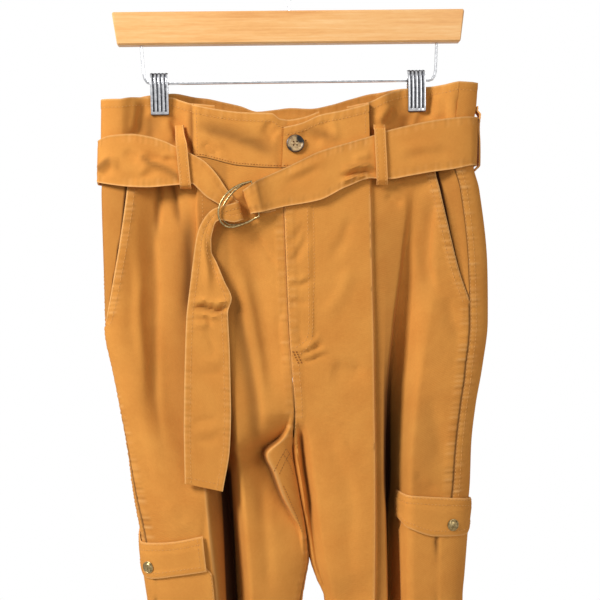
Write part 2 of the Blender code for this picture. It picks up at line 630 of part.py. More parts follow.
def belt_loop(name, finish):
    side, face, x_top, x_foot, top, foot, belt_top, belt_foot, stand = LOOPS[name]
    heights = [(top, SEATED), (top - 4, SEATED + 0.2), (belt_top + 3, OVER_BELT),
               (belt_top - 4, OVER_BELT + 0.4), ((belt_top + belt_foot) / 2, OVER_BELT + 0.6 + stand),
               (belt_foot, OVER_BELT + 0.2 + stand / 2), (belt_foot - 2.6, OVER_BELT - 1.4), (foot, SEATED)]
    grid = []
    for z, out in heights:
        x = x_top + (x_foot - x_top) * (z - top) / (foot - top)
        on_cloth = x if face == "fold" else s_at_x(side, z, x, False, face)
        bridging = x if face == "fold" else s_at_x(side, z, x, False, face, False)
        low = min(1.0, max(0.0, (out - SEATED) / (OVER_BELT - SEATED)))
        row = []
        for off in (-0.5, 0.0, 0.5):
            s = on_cloth + off * LOOP_WIDTH
            seated = skin(side, z, s, False) + skin_normal(side, z, s, False) * out
            over = on_body(side, z, bridging + off * LOOP_WIDTH, out)
            row.append(seated * (1 - low) + over * low)
        grid.append(row)
    wall(name, np.array(grid), LOOP_CLOTH, finish, side == "r")


# ---------------------------------------------------------------- rings, button, snaps
RING_WIRE = 1.4
RING_BAR_TOP, RING_BAR_FOOT = (-43.0, -241.0), (-36.0, -276.0)
RING_ARC = [(-52, -243.5), (-60, -247.5), (-67.5, -253.5), (-73, -261), (-76, -269.5), (-75.5, -277.5),
            (-72, -283.5), (-66, -286.5), (-58, -285.5), (-47, -281.5)]


def wire(name, points, radius, finish, closed=False, sides=2):
    curve = bpy.data.curves.new(name, "CURVE")
    curve.dimensions = "3D"
    curve.bevel_depth = radius * MM
    curve.bevel_resolution = sides
    curve.use_fill_caps = not closed
    spline = curve.splines.new("POLY")
    spline.points.add(len(points) - 1)
    for i, p in enumerate(points):
        spline.points[i].co = (p[0] * MM, p[1] * MM, p[2] * MM, 1.0)
    spline.use_cyclic_u = closed
    spline.use_smooth = True
    curve.materials.append(finish)
    part = bpy.data.objects.new(name, curve)
    bpy.context.scene.collection.objects.link(part)
    return part


def d_ring(name, inset, y_bar, y_arc, finish):
    outline = [RING_BAR_TOP] + RING_ARC + [RING_BAR_FOOT]
    centre = (-56.0, -265.0)
    points = []
    for i, (x, z) in enumerate(outline):
        on_arc = ramp(-40, -74, x)
        pull = inset * float(on_arc) if 0 < i < len(outline) - 1 else 0.0
        away = math.hypot(x - centre[0], z - centre[1])
        share = 1 - pull / away
        points.append((centre[0] + (x - centre[0]) * share, y_bar + (y_arc - y_bar) * float(on_arc),
                       centre[1] + (z - centre[1]) * share))
    dense = []
    for i, p in enumerate(points):
        q = points[(i + 1) % len(points)]
        dense.append(p)
        if 0 < i < len(points) - 2:
            before, after = points[i - 1], points[i + 2]
            dense.append(tuple((9 * (a + b) - (c + d)) / 16 for a, b, c, d in zip(p, q, before, after)))
    wire(name, dense, RING_WIRE, finish, closed=True)


def turned(name, profile, segments, matrix, finish):
    """A closed round piece from radius and height pairs that start and end on the axis."""
    points, faces = [], []
    rings = []
    for r, h in profile:
        if r < 1e-6:
            rings.append([len(points)])
            points.append((0.0, 0.0, h))
        else:
            rings.append(list(range(len(points), len(points) + segments)))
            turns = [2 * math.pi * k / segments for k in range(segments)]
            points += [(r * math.cos(turn), r * math.sin(turn), h) for turn in turns]
    for a, b in zip(rings[:-1], rings[1:]):
        for k in range(segments):
            n = (k + 1) % segments
            if len(a) == 1:
                faces.append((a[0], b[n], b[k]))
            elif len(b) == 1:
                faces.append((a[k], a[n], b[0]))
            else:
                faces.append((a[k], a[n], b[n], b[k]))
    placed = [matrix @ Vector(p) for p in points]
    return add_mesh(name, [tuple(p) for p in placed], faces, finish)


def facing_out(position, normal):
    """A frame whose +Z is the way out of the cloth."""
    turn = Vector(normal).to_track_quat("Z", "Y").to_matrix().to_4x4()
    return Matrix.Translation(Vector(position)) @ turn


def punch(part, centres, radius, depth, matrix):
    """Round holes straight through a small piece."""
    for x, y in centres:
        profile = [(0.0, -depth), (radius, -depth), (radius, depth), (0.0, depth)]
        place = matrix @ Matrix.Translation(Vector((x, y, 0.0)))
        cutter = turned("cutter", profile, 10, place, part.data.materials[0])
        cut = part.modifiers.new("hole", "BOOLEAN")
        cut.operation = "DIFFERENCE"
        cut.solver = "EXACT"
        cut.object = cutter
        bpy.context.view_layer.objects.active = part
        bpy.ops.object.modifier_apply(modifier=cut.name)
        bpy.data.objects.remove(cutter, do_unlink=True)


def waist_button(finish):
    at = on_face("front", 2.0, -203.0)
    matrix = facing_out((2.0, at[1] - CLOTH / 2 - SEAM_GAP - 0.6, -203.0), (0.02, -1.0, 0.05))
    profile = [(0.0, 0.0), (6.5, 0.0), (8.6, 0.9), (9.0, 1.9), (8.5, 2.6), (7.0, 2.9), (5.6, 2.5),
               (4.8, 2.2), (0.0, 2.1)]
    part = turned("waist_button", profile, 28, matrix, finish)
    punch(part, [(-1.7, -1.7), (-1.7, 1.7), (1.7, -1.7), (1.7, 1.7)], 0.85, 6.0, matrix)


# ---------------------------------------------------------------- cargo pockets
# Columns are counted from the back panel's column 7 (the pocket's back edge) to the front edge.
POCKET_COLUMNS = {"r": (7, 21), "l": (7, 18)}
POCKET = {
    # top and bottom, how far the outer side hangs lower, how far the flap's front corner is cut
    "l": {"flap": (-554.5, -600.0), "body": (-578.0, -676.0), "drop": -13.0, "corner": 17.0},
    "r": {"flap": (-593.0, -634.0), "body": (-612.0, -710.0), "drop": -6.0, "corner": 4.0},
}
POCKET_OUT = CLOTH + SEAM_GAP + 0.5
FLAP_OUT = POCKET_OUT + CLOTH + SEAM_GAP + 0.5


def column_at(grid, normals, j, z):
    """A point of the leg's own facets: down column j to the height z."""
    heights = grid[:, j, 2]
    order = slice(None, None, -1)
    point = [float(np.interp(z, heights[order], grid[order, j, k])) for k in range(3)]
    out = np.array([float(np.interp(z, heights[order], normals[order, j, k])) for k in range(3)])
    return np.array(point), out / np.linalg.norm(out)


def patch(name, side, leg, columns, edges, levels, outs, finish):
    """A piece lying on the leg: made from the leg's own points, moved out. Between its top
    and its foot it has a row at each of the leg's rows, or at each of the levels."""
    ends = [edges(i / (len(columns) - 1)) for i in range(len(columns))]
    if levels is None:
        highest, lowest = min(e[0] for e in ends) - 4, max(e[1] for e in ends) + 4
        between = [z for z in leg_rows(side) if lowest < z < highest]
        outs = [outs[0]] * (len(between) + 2)
        heights = [[top] + between + [low] for top, low in ends]
    else:
        heights = [[top + (low - top) * v for v in levels] for top, low in ends]
    grid, normals = [], []
    for i, out in enumerate(outs):
        line, ways = [], []
        for j, column_heights in zip(columns, heights):
            point, way = column_at(leg[0], leg[1], j, column_heights[i])
            line.append(point + way * out)
            ways.append(way)
        grid.append(line)
        normals.append(ways)
    wall(name, np.array(grid), CLOTH, finish, side == "r", np.array(normals))


def cargo_pocket(side, leg, cloth, brass):
    first, last = POCKET_COLUMNS[side]
    columns = [j for j in range(first, last + 1) if j != sum(BACK_COLUMNS)]
    size = POCKET[side]

    def body_edges(share):
        drop = size["drop"] * (1 - share)
        corner = 12.0 * max(0.0, (0.12 - min(share, 1 - share)) / 0.12)
        return size["body"][0] + drop, size["body"][1] + drop + corner

    def flap_edges(share):
        drop = size["drop"] * (1 - share)
        corner = size["corner"] * float(ramp(0.62, 1.0, share)) + 13.0 * float(ramp(0.3, 0.0, share))
        return size["flap"][0] + drop, size["flap"][1] + drop * 0.3 + corner

    patch("cargo_pocket_" + side, side, leg, columns, body_edges, None, [POCKET_OUT], cloth)
    flap_outs = [POCKET_OUT, FLAP_OUT, FLAP_OUT, FLAP_OUT]
    patch("cargo_flap_" + side, side, leg, columns, flap_edges, [0, 0.34, 0.67, 1], flap_outs, cloth)
    z = -592.0 if side == "l" else -617.0
    point, way = column_at(leg[0], leg[1], sum(BACK_COLUMNS) + 1, z)
    seat = point + way * (FLAP_OUT + CLOTH / 2 + SEAM_GAP)
    profile = [(0.0, 0.0), (5.2, 0.0), (5.5, 0.6), (4.9, 1.2), (3.6, 1.5), (2.6, 1.9), (0.0, 2.2)]
    turned("snap_" + side, profile, 20, facing_out(seat, way), brass)


# ---------------------------------------------------------------- hanger
def box_bar(finish):
    """A wooden bar with slightly raked ends and eased edges."""
    half_top, half_foot = BAR_LENGTH / 2 + 1.5, BAR_LENGTH / 2 - 3
    depth, ease = BAR_DEPTH / 2, 1.6
    outline = []
    for z, y in ((BAR_TOP, -depth + ease), (BAR_TOP - ease, -depth),
                 (BAR_BOTTOM + ease, -depth), (BAR_BOTTOM, -depth + ease), (BAR_BOTTOM, depth - ease),
                 (BAR_BOTTOM + ease, depth), (BAR_TOP - ease, depth), (BAR_TOP, depth - ease)):
        outline.append((y, z))
    points, faces = [], []
    for sign in (-1, 1):
        for inset, shrink in ((0.0, 1.2), (1.2, 0.0)):
            for y, z in outline:
                mid = (BAR_TOP + BAR_BOTTOM) / 2
                reach = half_foot + (half_top - half_foot) * (z - BAR_BOTTOM) / (BAR_TOP - BAR_BOTTOM)
                points.append((sign * (reach - inset), y * (1 - shrink / depth),
                               mid + (z - mid) * (1 - shrink / 17)))
    rings = [0, 8, 24, 16]
    for a, b in zip(rings[:-1], rings[1:]):
        for k in range(8):
            n = (k + 1) % 8
            faces.append((a + k, a + n, b + n, b + k))
    faces.append(tuple(range(7, -1, -1)))
    faces.append(tuple(range(16, 24)))
    return add_mesh("hanger_bar", points, faces, finish)


def hanger_metal(chrome):
    radius = HOOK_RADIUS + HOOK_WIRE
    middle = HOOK_WIRE - radius
    hook = [(0, BAR_TOP + 0.3), (0, -60), (0, -54), (2.2, -50.5), (7, -46.5), (13.5, -41)]
    for k in range(17):
        angle = math.radians(-42 + k * 14.5)
        hook.append((radius * math.cos(angle), middle + radius * math.sin(angle)))
    hook.append((-radius + 0.6, middle - 8))
    wire("hanger_hook", [(x, 0, z) for x, z in hook], HOOK_WIRE, chrome)
    span = ROD_HALF_SPAN
    half = [(span, BAR_BOTTOM - 0.3), (span - 0.8, -112), (span - 1.8, -127), (span - 3, -132),
            (span - 5.4, -135.7), (span - 9, ROD_Z)]
    rod = [(-x, z) for x, z in half] + [(ROD_HALF_SPAN * f, ROD_Z) for f in (-0.65, 0, 0.65)] + half[::-1]
    wire("hanger_wire", [(x, 0, z) for x, z in rod], ROD_RADIUS, chrome)


# y and z of each jaw's middle line, from the foot up; the back jaw curls over the rod
FRONT_JAW = [(-2.95, CLIP_FOOT), (-3.3, -165), (-4.8, -155), (-5.8, -145), (-6.0, -137),
             (-5.4, -131.5), (-3.6, CLIP_TOP), (-1.0, -127.2)]
BACK_JAW = [(2.95, CLIP_FOOT), (3.3, -165), (4.8, -155), (5.4, -148), (4.4, -142.5), (2.75, -139),
            (2.4, -136.8), (1.75, -135.2), (0.1, -134.45), (-1.6, -135.1)]
JAW_PLATE = 1.1


def clip(side, chrome):
    """Two sprung plates; the front plate is ribbed and curls over the rod."""
    centre = CLIP_AT[side]
    ribs = 5
    for face, line in (("front", FRONT_JAW), ("back", BACK_JAW)):
        grid = []
        for y, z in line:
            row = []
            for k in range(ribs * 2 + 1):
                x = centre + CLIP_WIDTH * (k / (ribs * 2) - 0.5)
                row.append((x, y, z))
            grid.append(row)
        grid = np.array(grid)[::-1]
        normals = grid_normals(grid, face == "front")
        relief = np.where(np.arange(ribs * 2 + 1) % 2 == 1, 0.8, 0.0)[None, :] * np.ones((len(grid), 1))
        relief[0], relief[-1] = 0.0, 0.0
        wall("clip_%s_%s" % (face, side), grid, JAW_PLATE, chrome, face == "front", normals, relief)


# ---------------------------------------------------------------- run
def clear_scene():
    for thing in list(bpy.data.objects):
        bpy.data.objects.remove(thing, do_unlink=True)


def build():
    clear_scene()
    twill = make_finish("cotton_twill", (0.55, 0.27, 0.07), 0.85)
    wood = make_finish("pale_wood", (0.80, 0.50, 0.26), 0.5)
    chrome = make_finish("chrome", (0.75, 0.75, 0.76), 0.2, 1.0)
    brass = make_finish("antique_brass", (0.33, 0.24, 0.12), 0.4, 1.0)
    horn = make_finish("button_horn", (0.30, 0.19, 0.10), 0.35)
    for side in ("r", "l"):
        leg = leg_panels(side, twill)
        pocket_facing(side, twill)
        cargo_pocket(side, leg, twill, brass)
        clip(side, chrome)
    band("waistband_front_r", "front", BAND_FRONT_R, [("r", True)], twill)
    band("waistband_front_l", "front", BAND_FRONT_L, [("l", True)], twill)
    band("waistband_back", "back", BAND_BACK, [("r", True), ("l", False)], twill)
    belt(twill)
    for name in LOOPS:
        belt_loop(name, twill)
    d_ring("d_ring_inner", 3.6, -30.0, -31.3, brass)
    d_ring("d_ring_outer", 0.0, -33.2, -38.7, brass)
    waist_button(horn)
    box_bar(wood)
    hanger_metal(chrome)


build()
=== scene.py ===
# %% [markdown]
# # Paperbag-waist cargo trousers on a clip hanger
# Long trousers of camel cotton twill hang from a wooden clip hanger. The waist is a "paperbag": a tall
# band with folded pleats, drawn in by a wide sash that runs through belt loops and two rings. The packed
# solids give every piece its place and size. This lesson lays finer cloth, thread, metal and wood on them.
# Sizes are in millimetres until a mesh is made. +Z is up, the front faces -Y, +X is the wearer's left.

import math

import bpy
import numpy as np
from mathutils import Matrix, Vector


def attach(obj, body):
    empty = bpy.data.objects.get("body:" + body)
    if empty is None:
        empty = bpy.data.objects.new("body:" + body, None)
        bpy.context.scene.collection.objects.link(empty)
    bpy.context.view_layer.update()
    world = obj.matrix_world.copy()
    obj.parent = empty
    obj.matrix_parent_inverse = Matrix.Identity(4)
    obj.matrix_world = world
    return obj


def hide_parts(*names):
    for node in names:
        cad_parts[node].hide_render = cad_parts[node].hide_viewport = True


MM = 0.001
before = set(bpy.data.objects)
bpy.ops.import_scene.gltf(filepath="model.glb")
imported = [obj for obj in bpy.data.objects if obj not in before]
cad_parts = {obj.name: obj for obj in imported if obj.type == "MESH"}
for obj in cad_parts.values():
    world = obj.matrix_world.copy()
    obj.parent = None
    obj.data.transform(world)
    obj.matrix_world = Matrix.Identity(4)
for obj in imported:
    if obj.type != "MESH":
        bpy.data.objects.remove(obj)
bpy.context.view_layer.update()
bpy.ops.object.select_all(action="DESELECT")

# %% [markdown]
# The camera stands level with the thighs, a little to the left of the middle, and leans by a degree. The
# floor is plain and pale and the room behind it white. One large soft light from the upper left models
# the folds, and the white room fills the shadows, as in a small studio.

# %% Camera
EYE_LEVEL = Vector((0.00384, -0.010, -0.35978))
EYE_TURN, EYE_LEAN, EYE_ANGLE = (math.radians(angle) for angle in (-3.0, -1.3, 29.6))
EYE_DISTANCE = 1.150


def place_camera():
    toward = Vector((math.sin(EYE_TURN), -math.cos(EYE_TURN), 0.0))
    lens = bpy.data.cameras.new("camera")
    lens.angle = EYE_ANGLE
    camera = bpy.data.objects.new("camera", lens)
    camera.location = EYE_LEVEL + toward * EYE_DISTANCE
    turn = (-toward).to_track_quat("-Z", "Y").to_matrix() @ Matrix.Rotation(EYE_LEAN, 3, "Z")
    camera.rotation_euler = turn.to_euler()
    bpy.context.scene.collection.objects.link(camera)
    bpy.context.scene.camera = camera
    return camera


camera = place_camera()
print("camera at", [round(metres, 3) for metres in camera.location])

# %% [markdown]
# The trousers hang flat, yet each leg is a squashed tube with a deep pressed pleat, and the cloth at the
# crotch hangs forward as a tongue. One could sculpt that, or drape it in a simulation. Tables at a few
# heights are easier to correct, and they give the same cloth each time. A number is a place in millimetres
# at that height, and smooth curves run between the heights.


# %% Tables typed as text
def columns(text):
    """A table typed as text. Each line is a name and then that column's numbers."""
    words = [line.split() for line in text.strip().splitlines()]
    return {name: [float(n) for n in numbers] for name, *numbers in words}


def rows(text):
    """A table typed as text, one row after another with a bar or a new line between them."""
    return [[float(n) for n in row.split()] for row in text.strip().replace("|", "\n").splitlines()]


def drawn_lines(text):
    """Drawn lines. A name starts a piece. Rows below it are left flank, right flank, height, points."""
    found = {}
    for words in (row.split() for row in text.strip().splitlines()):
        if len(words) == 1:
            piece = found.setdefault(words[0], [])
        else:
            n = [float(word) for word in words]
            piece.append((*n[:3], *zip(n[3::2], n[4::2])))
    return found


# %% Driving sizes
CLOTH = 1.2             # wall of every trouser panel
SEAM_GAP = 0.3          # clear space between pieces that are sewn together
WAIST_GAP = 0.6         # clear space along the curved waist seam

CLIP_AT, CLIP_WIDTH = {"r": -133.5, "l": 128.5}, 18.0

CROTCH_Z = -508.0
INSEAM = 660.0
HEM_Z = CROTCH_Z - INSEAM
RISE_CURVE = 78.0       # height over which the rise turns under the body
FLATNESS = 0.4          # exponent of the squashed ring: small is flat with tight side folds
PINCH_Y = 1.4           # half distance between front and back cloth inside a clip
PINCH_HALF = 12.5       # the cloth is flat this far to each side of a clip
FLY_RAISE, FLY_FOOT = 1.3, -418.0

# One row for each height: outer folds, inner ends of the two leg tubes, front and back depth.
SECTIONS = columns("""
z       -135 -165 -200 -228 -250 -330 -385 -430 -470 -508 -550 -600 -620 -640 -663 -800 -1000 -1168
out_r   -191 -192 -193 -194 -195 -194 -193 -185 -178 -172 -167.5 -160 -158 -155.5 -153 -151 -149 -148
in_r    -10 -10.5 -11 -11 -11 -10 -9 -7 -5 -7 -2 5.5 6.8 3.2 -1 -11 -15 -15
in_l    -10 -10.5 -11 -11 -11 -10 -9 -7 -5 -7 -2 6 8 13.8 22.5 30 27 25
out_l   192 189.5 184 185 190 196.5 195.5 189 180.5 175 172.5 166 164 162 159.5 156 155 156
back_in 0 0 0 0 0 -1 -2 -3 -4 -7 -2 5.7 7.4 8.8 10 10 6 5
front   14 17 20 22.5 24 27 30 32 33 34 34 34 33.6 33 32 28 23 19
back    20 21.5 23 24.2 25 27 29 31 32 32 31 30 29.8 29.4 29 26 22 19
""")

# The deep front pleat of each leg. Going away from the fly: a sharp folded edge, a sunk terrace,
# its rim, the bottom of the valley, and the shoulder where the outer leg is level again.
PLEAT_L = columns("""
z        -200 -250 -321 -392 -463 -545 -667 -800 -1000 -1168
edge     77 76 75.5 75 74 73 70 68 66 66
terrace  4 4 4 5 6 6 6 4 2 1
rim      92 112 105 94.5 86.5 83 83 84 84 84
bottom   104 122 111 99.5 92.5 89.5 90 92 92 92
depth    0 5 13 25 38 47 47 30 12 3
lip      130 142 130 116 104 99.5 100 102 102 102
shoulder 150 150 145 133 119 110 108 110 112 112
""")
PLEAT_R = columns("""
z        -200 -300 -380 -440 -500 -551 -600 -660 -800 -1000 -1168
edge     -97 -96 -98 -100 -97 -95 -91 -86 -84 -82 -82
terrace  5 5 4 1 0 0 0 0 0 0 0
bottom   -88 -88 -88 -88 -81 -75 -71 -69 -71 -74 -74
depth    0 0 3 14 35 47 49 47 30 12 3
shoulder -62 -62 -62 -62 -61 -57 -54 -51 -51 -52 -52
""")
# The crotch cloth hangs forward as a tongue: a valley, then a wall up to the tongue's ridge.
TONGUE = columns("""
z      -400 -470 -484 -497 -513 -531 -556 -577 -592 -618 -700 -1168
valley -30 -11 -13.5 -21 -38.5 -31 -22 -11.5 -3.5 -2 -16 -30
ridge  -24 -7 -8.5 -15.5 -33 -26 -17.5 -7 0 1 -12 -26
depth  0 0 6 14 24 22 17 11 6 0 0 0
""")
INNER_L = columns("""
z      -400 -478 -500 -527 -562 -583 -603 -628 -651 -700 -800 -1168
valley -2 -1 1.6 4 8.3 9.9 12.5 16.5 22 33 46 44
depth  0 0 11 14 13 9 7 6 5 3 0 0
""")
# Soft troughs. path is (z, x) pairs from the top down.
SOFT_FRONT = [
    # half width, depth, path
    (21, 13, [(-215, -134), (-260, -137), (-350, -141), (-450, -130), (-520, -114), (-570, -112)]),
    (9, 6, [(-150, -154), (-175, -156), (-205, -160)]),
    (10, 7, [(-172, -118), (-195, -122), (-225, -124)]),
    (10, 6, [(-166, 112), (-190, 104), (-225, 98)]),
    (12, 6, [(-168, 148), (-200, 156), (-225, 160)]),
    (13, 5, [(-285, -54), (-350, -40), (-420, -30), (-470, -26)]),
    (26, 7, [(-690, -120), (-800, -116), (-950, -118), (-1100, -118)]),
    (22, 6, [(-700, 135), (-820, 128), (-980, 130), (-1120, 132)]),
    (18, 5, [(-640, 48), (-760, 52), (-900, 50), (-1060, 52)]),
]
SOFT_BACK = [
    (18, 9, [(-215, -120), (-300, -124), (-420, -120), (-520, -112), (-620, -108), (-760, -106)]),
    (18, 9, [(-215, 122), (-300, 128), (-420, 122), (-520, 114), (-640, 110), (-780, 112)]),
    (14, 14, [(-430, -52), (-500, -56), (-580, -60), (-700, -62), (-850, -64), (-1000, -66)]),
    (14, 14, [(-440, 46), (-510, 54), (-590, 66), (-700, 76), (-850, 80), (-1000, 80)]),
    (10, 5, [(-300, -42), (-380, -34), (-450, -24)]),
    (10, 5, [(-310, 42), (-380, 34), (-450, 22)]),
]

# Side seams: millimetres from the outer fold, positive on the front.
SIDE_SEAM = columns("""
z -135 -234 -380 -434 -490 -588 -700 -1168
r -12 -10 -2 6 15 24 26 16
l 26 32 35 35.5 37.5 41 39 22
""")
# Inseams: millimetres from the inner fold, positive on the front.
INSEAM_AT = columns("""
z -508 -530 -560 -610 -663 -800 -1168
r 0 5 10 16 19 12 4
l 0 3 4 5 5 4 2
""")
# Slant pocket mouths as x at z.
MOUTH = {
    "r": [(-205, -163), (-243, -167), (-289, -174), (-342, -184), (-381, -192)],
    "l": [(-200, 141), (-234, 145), (-254, 148), (-283, 154), (-333, 165), (-367, 176)],
}
MOUTH_END = {"r": -381.0, "l": -367.0}
print("the cloth is typed at", len(SECTIONS["z"]), "heights, from", SECTIONS["z"][0], "to", SECTIONS["z"][-1])


# %% Smooth tables
def smooth_curve(keys, values, at):
    """A curve through the key points whose slope never overshoots (Fritsch-Carlson)."""
    keys, values = np.asarray(keys, float), np.asarray(values, float)
    if keys[0] > keys[-1]:
        keys, values = keys[::-1], values[::-1]
    at = np.clip(np.asarray(at, float), keys[0], keys[-1])
    step = np.diff(keys)
    rise = np.diff(values) / step
    slope = np.concatenate([[rise[0]], np.zeros(len(rise) - 1), [rise[-1]]])
    same = rise[:-1] * rise[1:] > 0
    with np.errstate(divide="ignore", invalid="ignore"):
        mean = 2 * rise[:-1] * rise[1:] / (rise[:-1] + rise[1:])
    slope[1:-1] = np.where(same, mean, 0.0)
    i = np.clip(np.searchsorted(keys, at, side="right") - 1, 0, len(step) - 1)
    t = (at - keys[i]) / step[i]
    return (
        values[i] * (1 + 2 * t) * (1 - t) ** 2
        + slope[i] * step[i] * t * (1 - t) ** 2
        + values[i + 1] * t * t * (3 - 2 * t)
        + slope[i + 1] * step[i] * t * t * (t - 1)
    )


def column(table, name, z):
    return smooth_curve(table["z"], table[name], z)


def ramp(a, b, x):
    """0 before a, 1 after b, smooth between."""
    t = np.clip((np.asarray(x, float) - a) / (b - a), 0.0, 1.0)
    return t * t * (3 - 2 * t)


def bell(x, middle, width):
    """1 at the middle, fading to both sides."""
    return np.exp(-((x - middle) / width) ** 2)


def run_along(line):
    """The distance run at each point of a line."""
    return np.concatenate([[0], np.cumsum(np.linalg.norm(np.diff(line, axis=0), axis=1))])


def fine_to_edges(first, middle, last):
    """Shares from 0 to 1, spaced closer at both ends. middle is start, end and count."""
    return np.concatenate([first, np.linspace(*middle), last])


# %% The garment's form
def soft_troughs(folds, x, z):
    total = np.zeros_like(x)
    for half_width, depth, path in folds:
        heights = [p[0] for p in path]
        centre = smooth_curve(heights, [p[1] for p in path], z)
        run = 0.35 * (heights[0] - heights[-1])
        strength = ramp(heights[0] + 14, heights[0] - 20, z) * ramp(heights[-1], heights[-1] + run, z)
        total = total + depth * strength * bell(x, centre, half_width)
    return total


def front_folds(side, x, z):
    """How far the front cloth lies behind the smooth ring, at x along one section."""
    if side == "l":
        edge, rim, bottom, shoulder, terrace, depth = (
            column(PLEAT_L, part, z) for part in ("edge", "rim", "bottom", "shoulder", "terrace", "depth"))
        level = terrace * ramp(edge, edge + 2.0, x)
        level = level + (depth - terrace) * ramp(rim, bottom, x)
        level = level * (1 - ramp(bottom, shoulder, x))
        inner = column(INNER_L, "valley", z)
        wall = np.where(x < inner, ramp(inner - 6.5, inner, x), 1 - ramp(inner, inner + 9, x))
        level = level + column(INNER_L, "depth", z) * wall
        level = level - FLY_RAISE * ramp(FLY_FOOT, FLY_FOOT + 8, z) * (1 - ramp(14, 17, x))
    else:
        edge, bottom, shoulder, depth = (
            column(PLEAT_R, part, z) for part in ("edge", "bottom", "shoulder", "depth"))
        level = depth * ramp(edge, bottom, x) * (1 - ramp(bottom, shoulder, x))
        tuck = ramp(edge, edge - 2.0, x) * ramp(edge - 42, edge - 6, x)
        level = level + column(PLEAT_R, "terrace", z) * tuck
        valley, ridge = column(TONGUE, "valley", z), column(TONGUE, "ridge", z)
        wall = np.where(x < valley, bell(x, valley, 26), 1 - ramp(valley, ridge, x))
        level = level + column(TONGUE, "depth", z) * wall
    return level + soft_troughs(SOFT_FRONT, x, z)


def under_body(z):
    """0 above the rise curve, 1 at the crotch and below it."""
    up = np.clip((z - CROTCH_Z) / RISE_CURVE, 0.0, 1.0)
    bulge = math.sqrt(max(0.0, 1 - (1 - up) ** 2))
    return 2 / math.pi * math.acos(min(1.0, bulge ** (1 / FLATNESS)))


def centre_gap(z):
    """Distance from the middle plane to a leg tube's inner end."""
    return 0.06 + 0.25 * under_body(z)


def pinch(x, z):
    """1 inside a clip, fading down and sideways."""
    away = np.minimum(np.abs(x - CLIP_AT["r"]), np.abs(x - CLIP_AT["l"]))
    return ramp(-262, -172, z) * (1 - ramp(PINCH_HALF, PINCH_HALF + 28, away))


def half_profile(side, face, z, folds, pinched):
    """Points from the outer fold to the inner end, on the front or the back, at one height."""
    outer = float(column(SECTIONS, "out_" + side, z))
    sign = 1.0 if side == "r" else -1.0
    inner = float(column(SECTIONS, "in_" + side, z))
    turn = under_body(z)
    if face == "back":
        middle = float(column(SECTIONS, "back_in", z))
        inner = middle + (inner - middle) * turn
    inner = inner - sign * centre_gap(z)
    last = math.pi / 2 * (1 + turn)
    angle = last * np.linspace(0, 1, DENSE)
    x = outer + (inner - outer) * (1 - np.cos(angle)) / (1 - math.cos(last))
    y = float(column(SECTIONS, face, z)) * np.clip(np.sin(angle), 0.0, 1.0) ** FLATNESS
    if folds:
        away = ramp(0.0, 14.0, np.abs(x - outer))
        closing = 1 - turn * (1 - ramp(0.0, 5.0, np.abs(x - inner)))
        inward = front_folds(side, x, z) if face == "front" else soft_troughs(SOFT_BACK, x, z)
        y = y - inward * away * closing
    near = pinch(x, z) * pinched
    y = y * (1 - near) + PINCH_Y * near * ramp(0.0, 10.0, np.abs(x - outer))
    return np.stack([x, -y if face == "front" else y], axis=1)


# %% [markdown]
# Each half of the garment is one skin. A place on it has two numbers: the height z, and s, how far along
# the cloth it lies from the outer fold, positive on the front. A maker's tape measures cloth the same way.
# The skin is laid out once as a table of sections, so that every later piece can ask for a place at once.
# It comes in three kinds: "folded" with pleats and troughs, "smooth" without them, and "bridged", which
# also ignores the pinch of the clips, for the belt that spans it.

# %% The skin as a table
SKIN_TOP, SKIN_STEP, DENSE, SHARES = -128.0, 2.0, 420, 420
REACH_S, REACH_Z = 2.0, 4.0     # the stretch of cloth over which its way out is measured
KINDS = {"folded": (True, True, HEM_Z), "smooth": (False, True, -290.0), "bridged": (False, False, -290.0)}


def lay_out(side, kind):
    folds, pinched, foot = KINDS[kind]
    form = {"z": np.arange(SKIN_TOP, foot - SKIN_STEP, -SKIN_STEP)}
    for face in ("front", "back"):
        lines, lengths = [], []
        for z in form["z"]:
            line = half_profile(side, face, z, folds, pinched)
            run = run_along(line)
            at = np.linspace(0, run[-1], SHARES)
            lines.append(np.stack([np.interp(at, run, line[:, 0]), np.interp(at, run, line[:, 1])], axis=1))
            lengths.append(run[-1])
        form[face], form["length_" + face] = np.array(lines), np.array(lengths)
    return form


FORMS = {(side, kind): lay_out(side, kind) for side in "rl" for kind in KINDS}


def levels(form, z):
    level = np.clip((SKIN_TOP - z) / SKIN_STEP, 0, len(form["z"]) - 1.001)
    return level.astype(int), level - level.astype(int)


def half_girth(side, z, face, kind="folded"):
    form = FORMS[side, kind]
    i, part = levels(form, np.asarray(z, float))
    lengths = form["length_" + face]
    return lengths[i] * (1 - part) + lengths[i + 1] * part


def skin(side, z, s, kind="folded"):
    """Points of the skin. Past the inner end of a closed leg the line goes on along the other face."""
    form = FORMS[side, kind]
    z, s = np.broadcast_arrays(np.asarray(z, float), np.asarray(s, float))
    i, part = levels(form, z)
    total = 0
    for row, weight in ((i, 1 - part), (i + 1, part)):
        front, back = form["length_front"][row], form["length_back"][row]
        closed = form["z"][row] <= CROTCH_Z
        at = np.where(closed & (s > front), s - front - back, s)
        at = np.where(closed & (s < -back), s + back + front, at)
        share = np.clip(np.where(at >= 0, at / front, -at / back), 0, 1) * (SHARES - 1.001)
        j = share.astype(int)
        step = (share - j)[..., None]
        ahead = form["front"][row, j] * (1 - step) + form["front"][row, j + 1] * step
        behind = form["back"][row, j] * (1 - step) + form["back"][row, j + 1] * step
        total = total + weight[..., None] * np.where((at >= 0)[..., None], ahead, behind)
    return np.concatenate([total, z[..., None]], axis=-1)


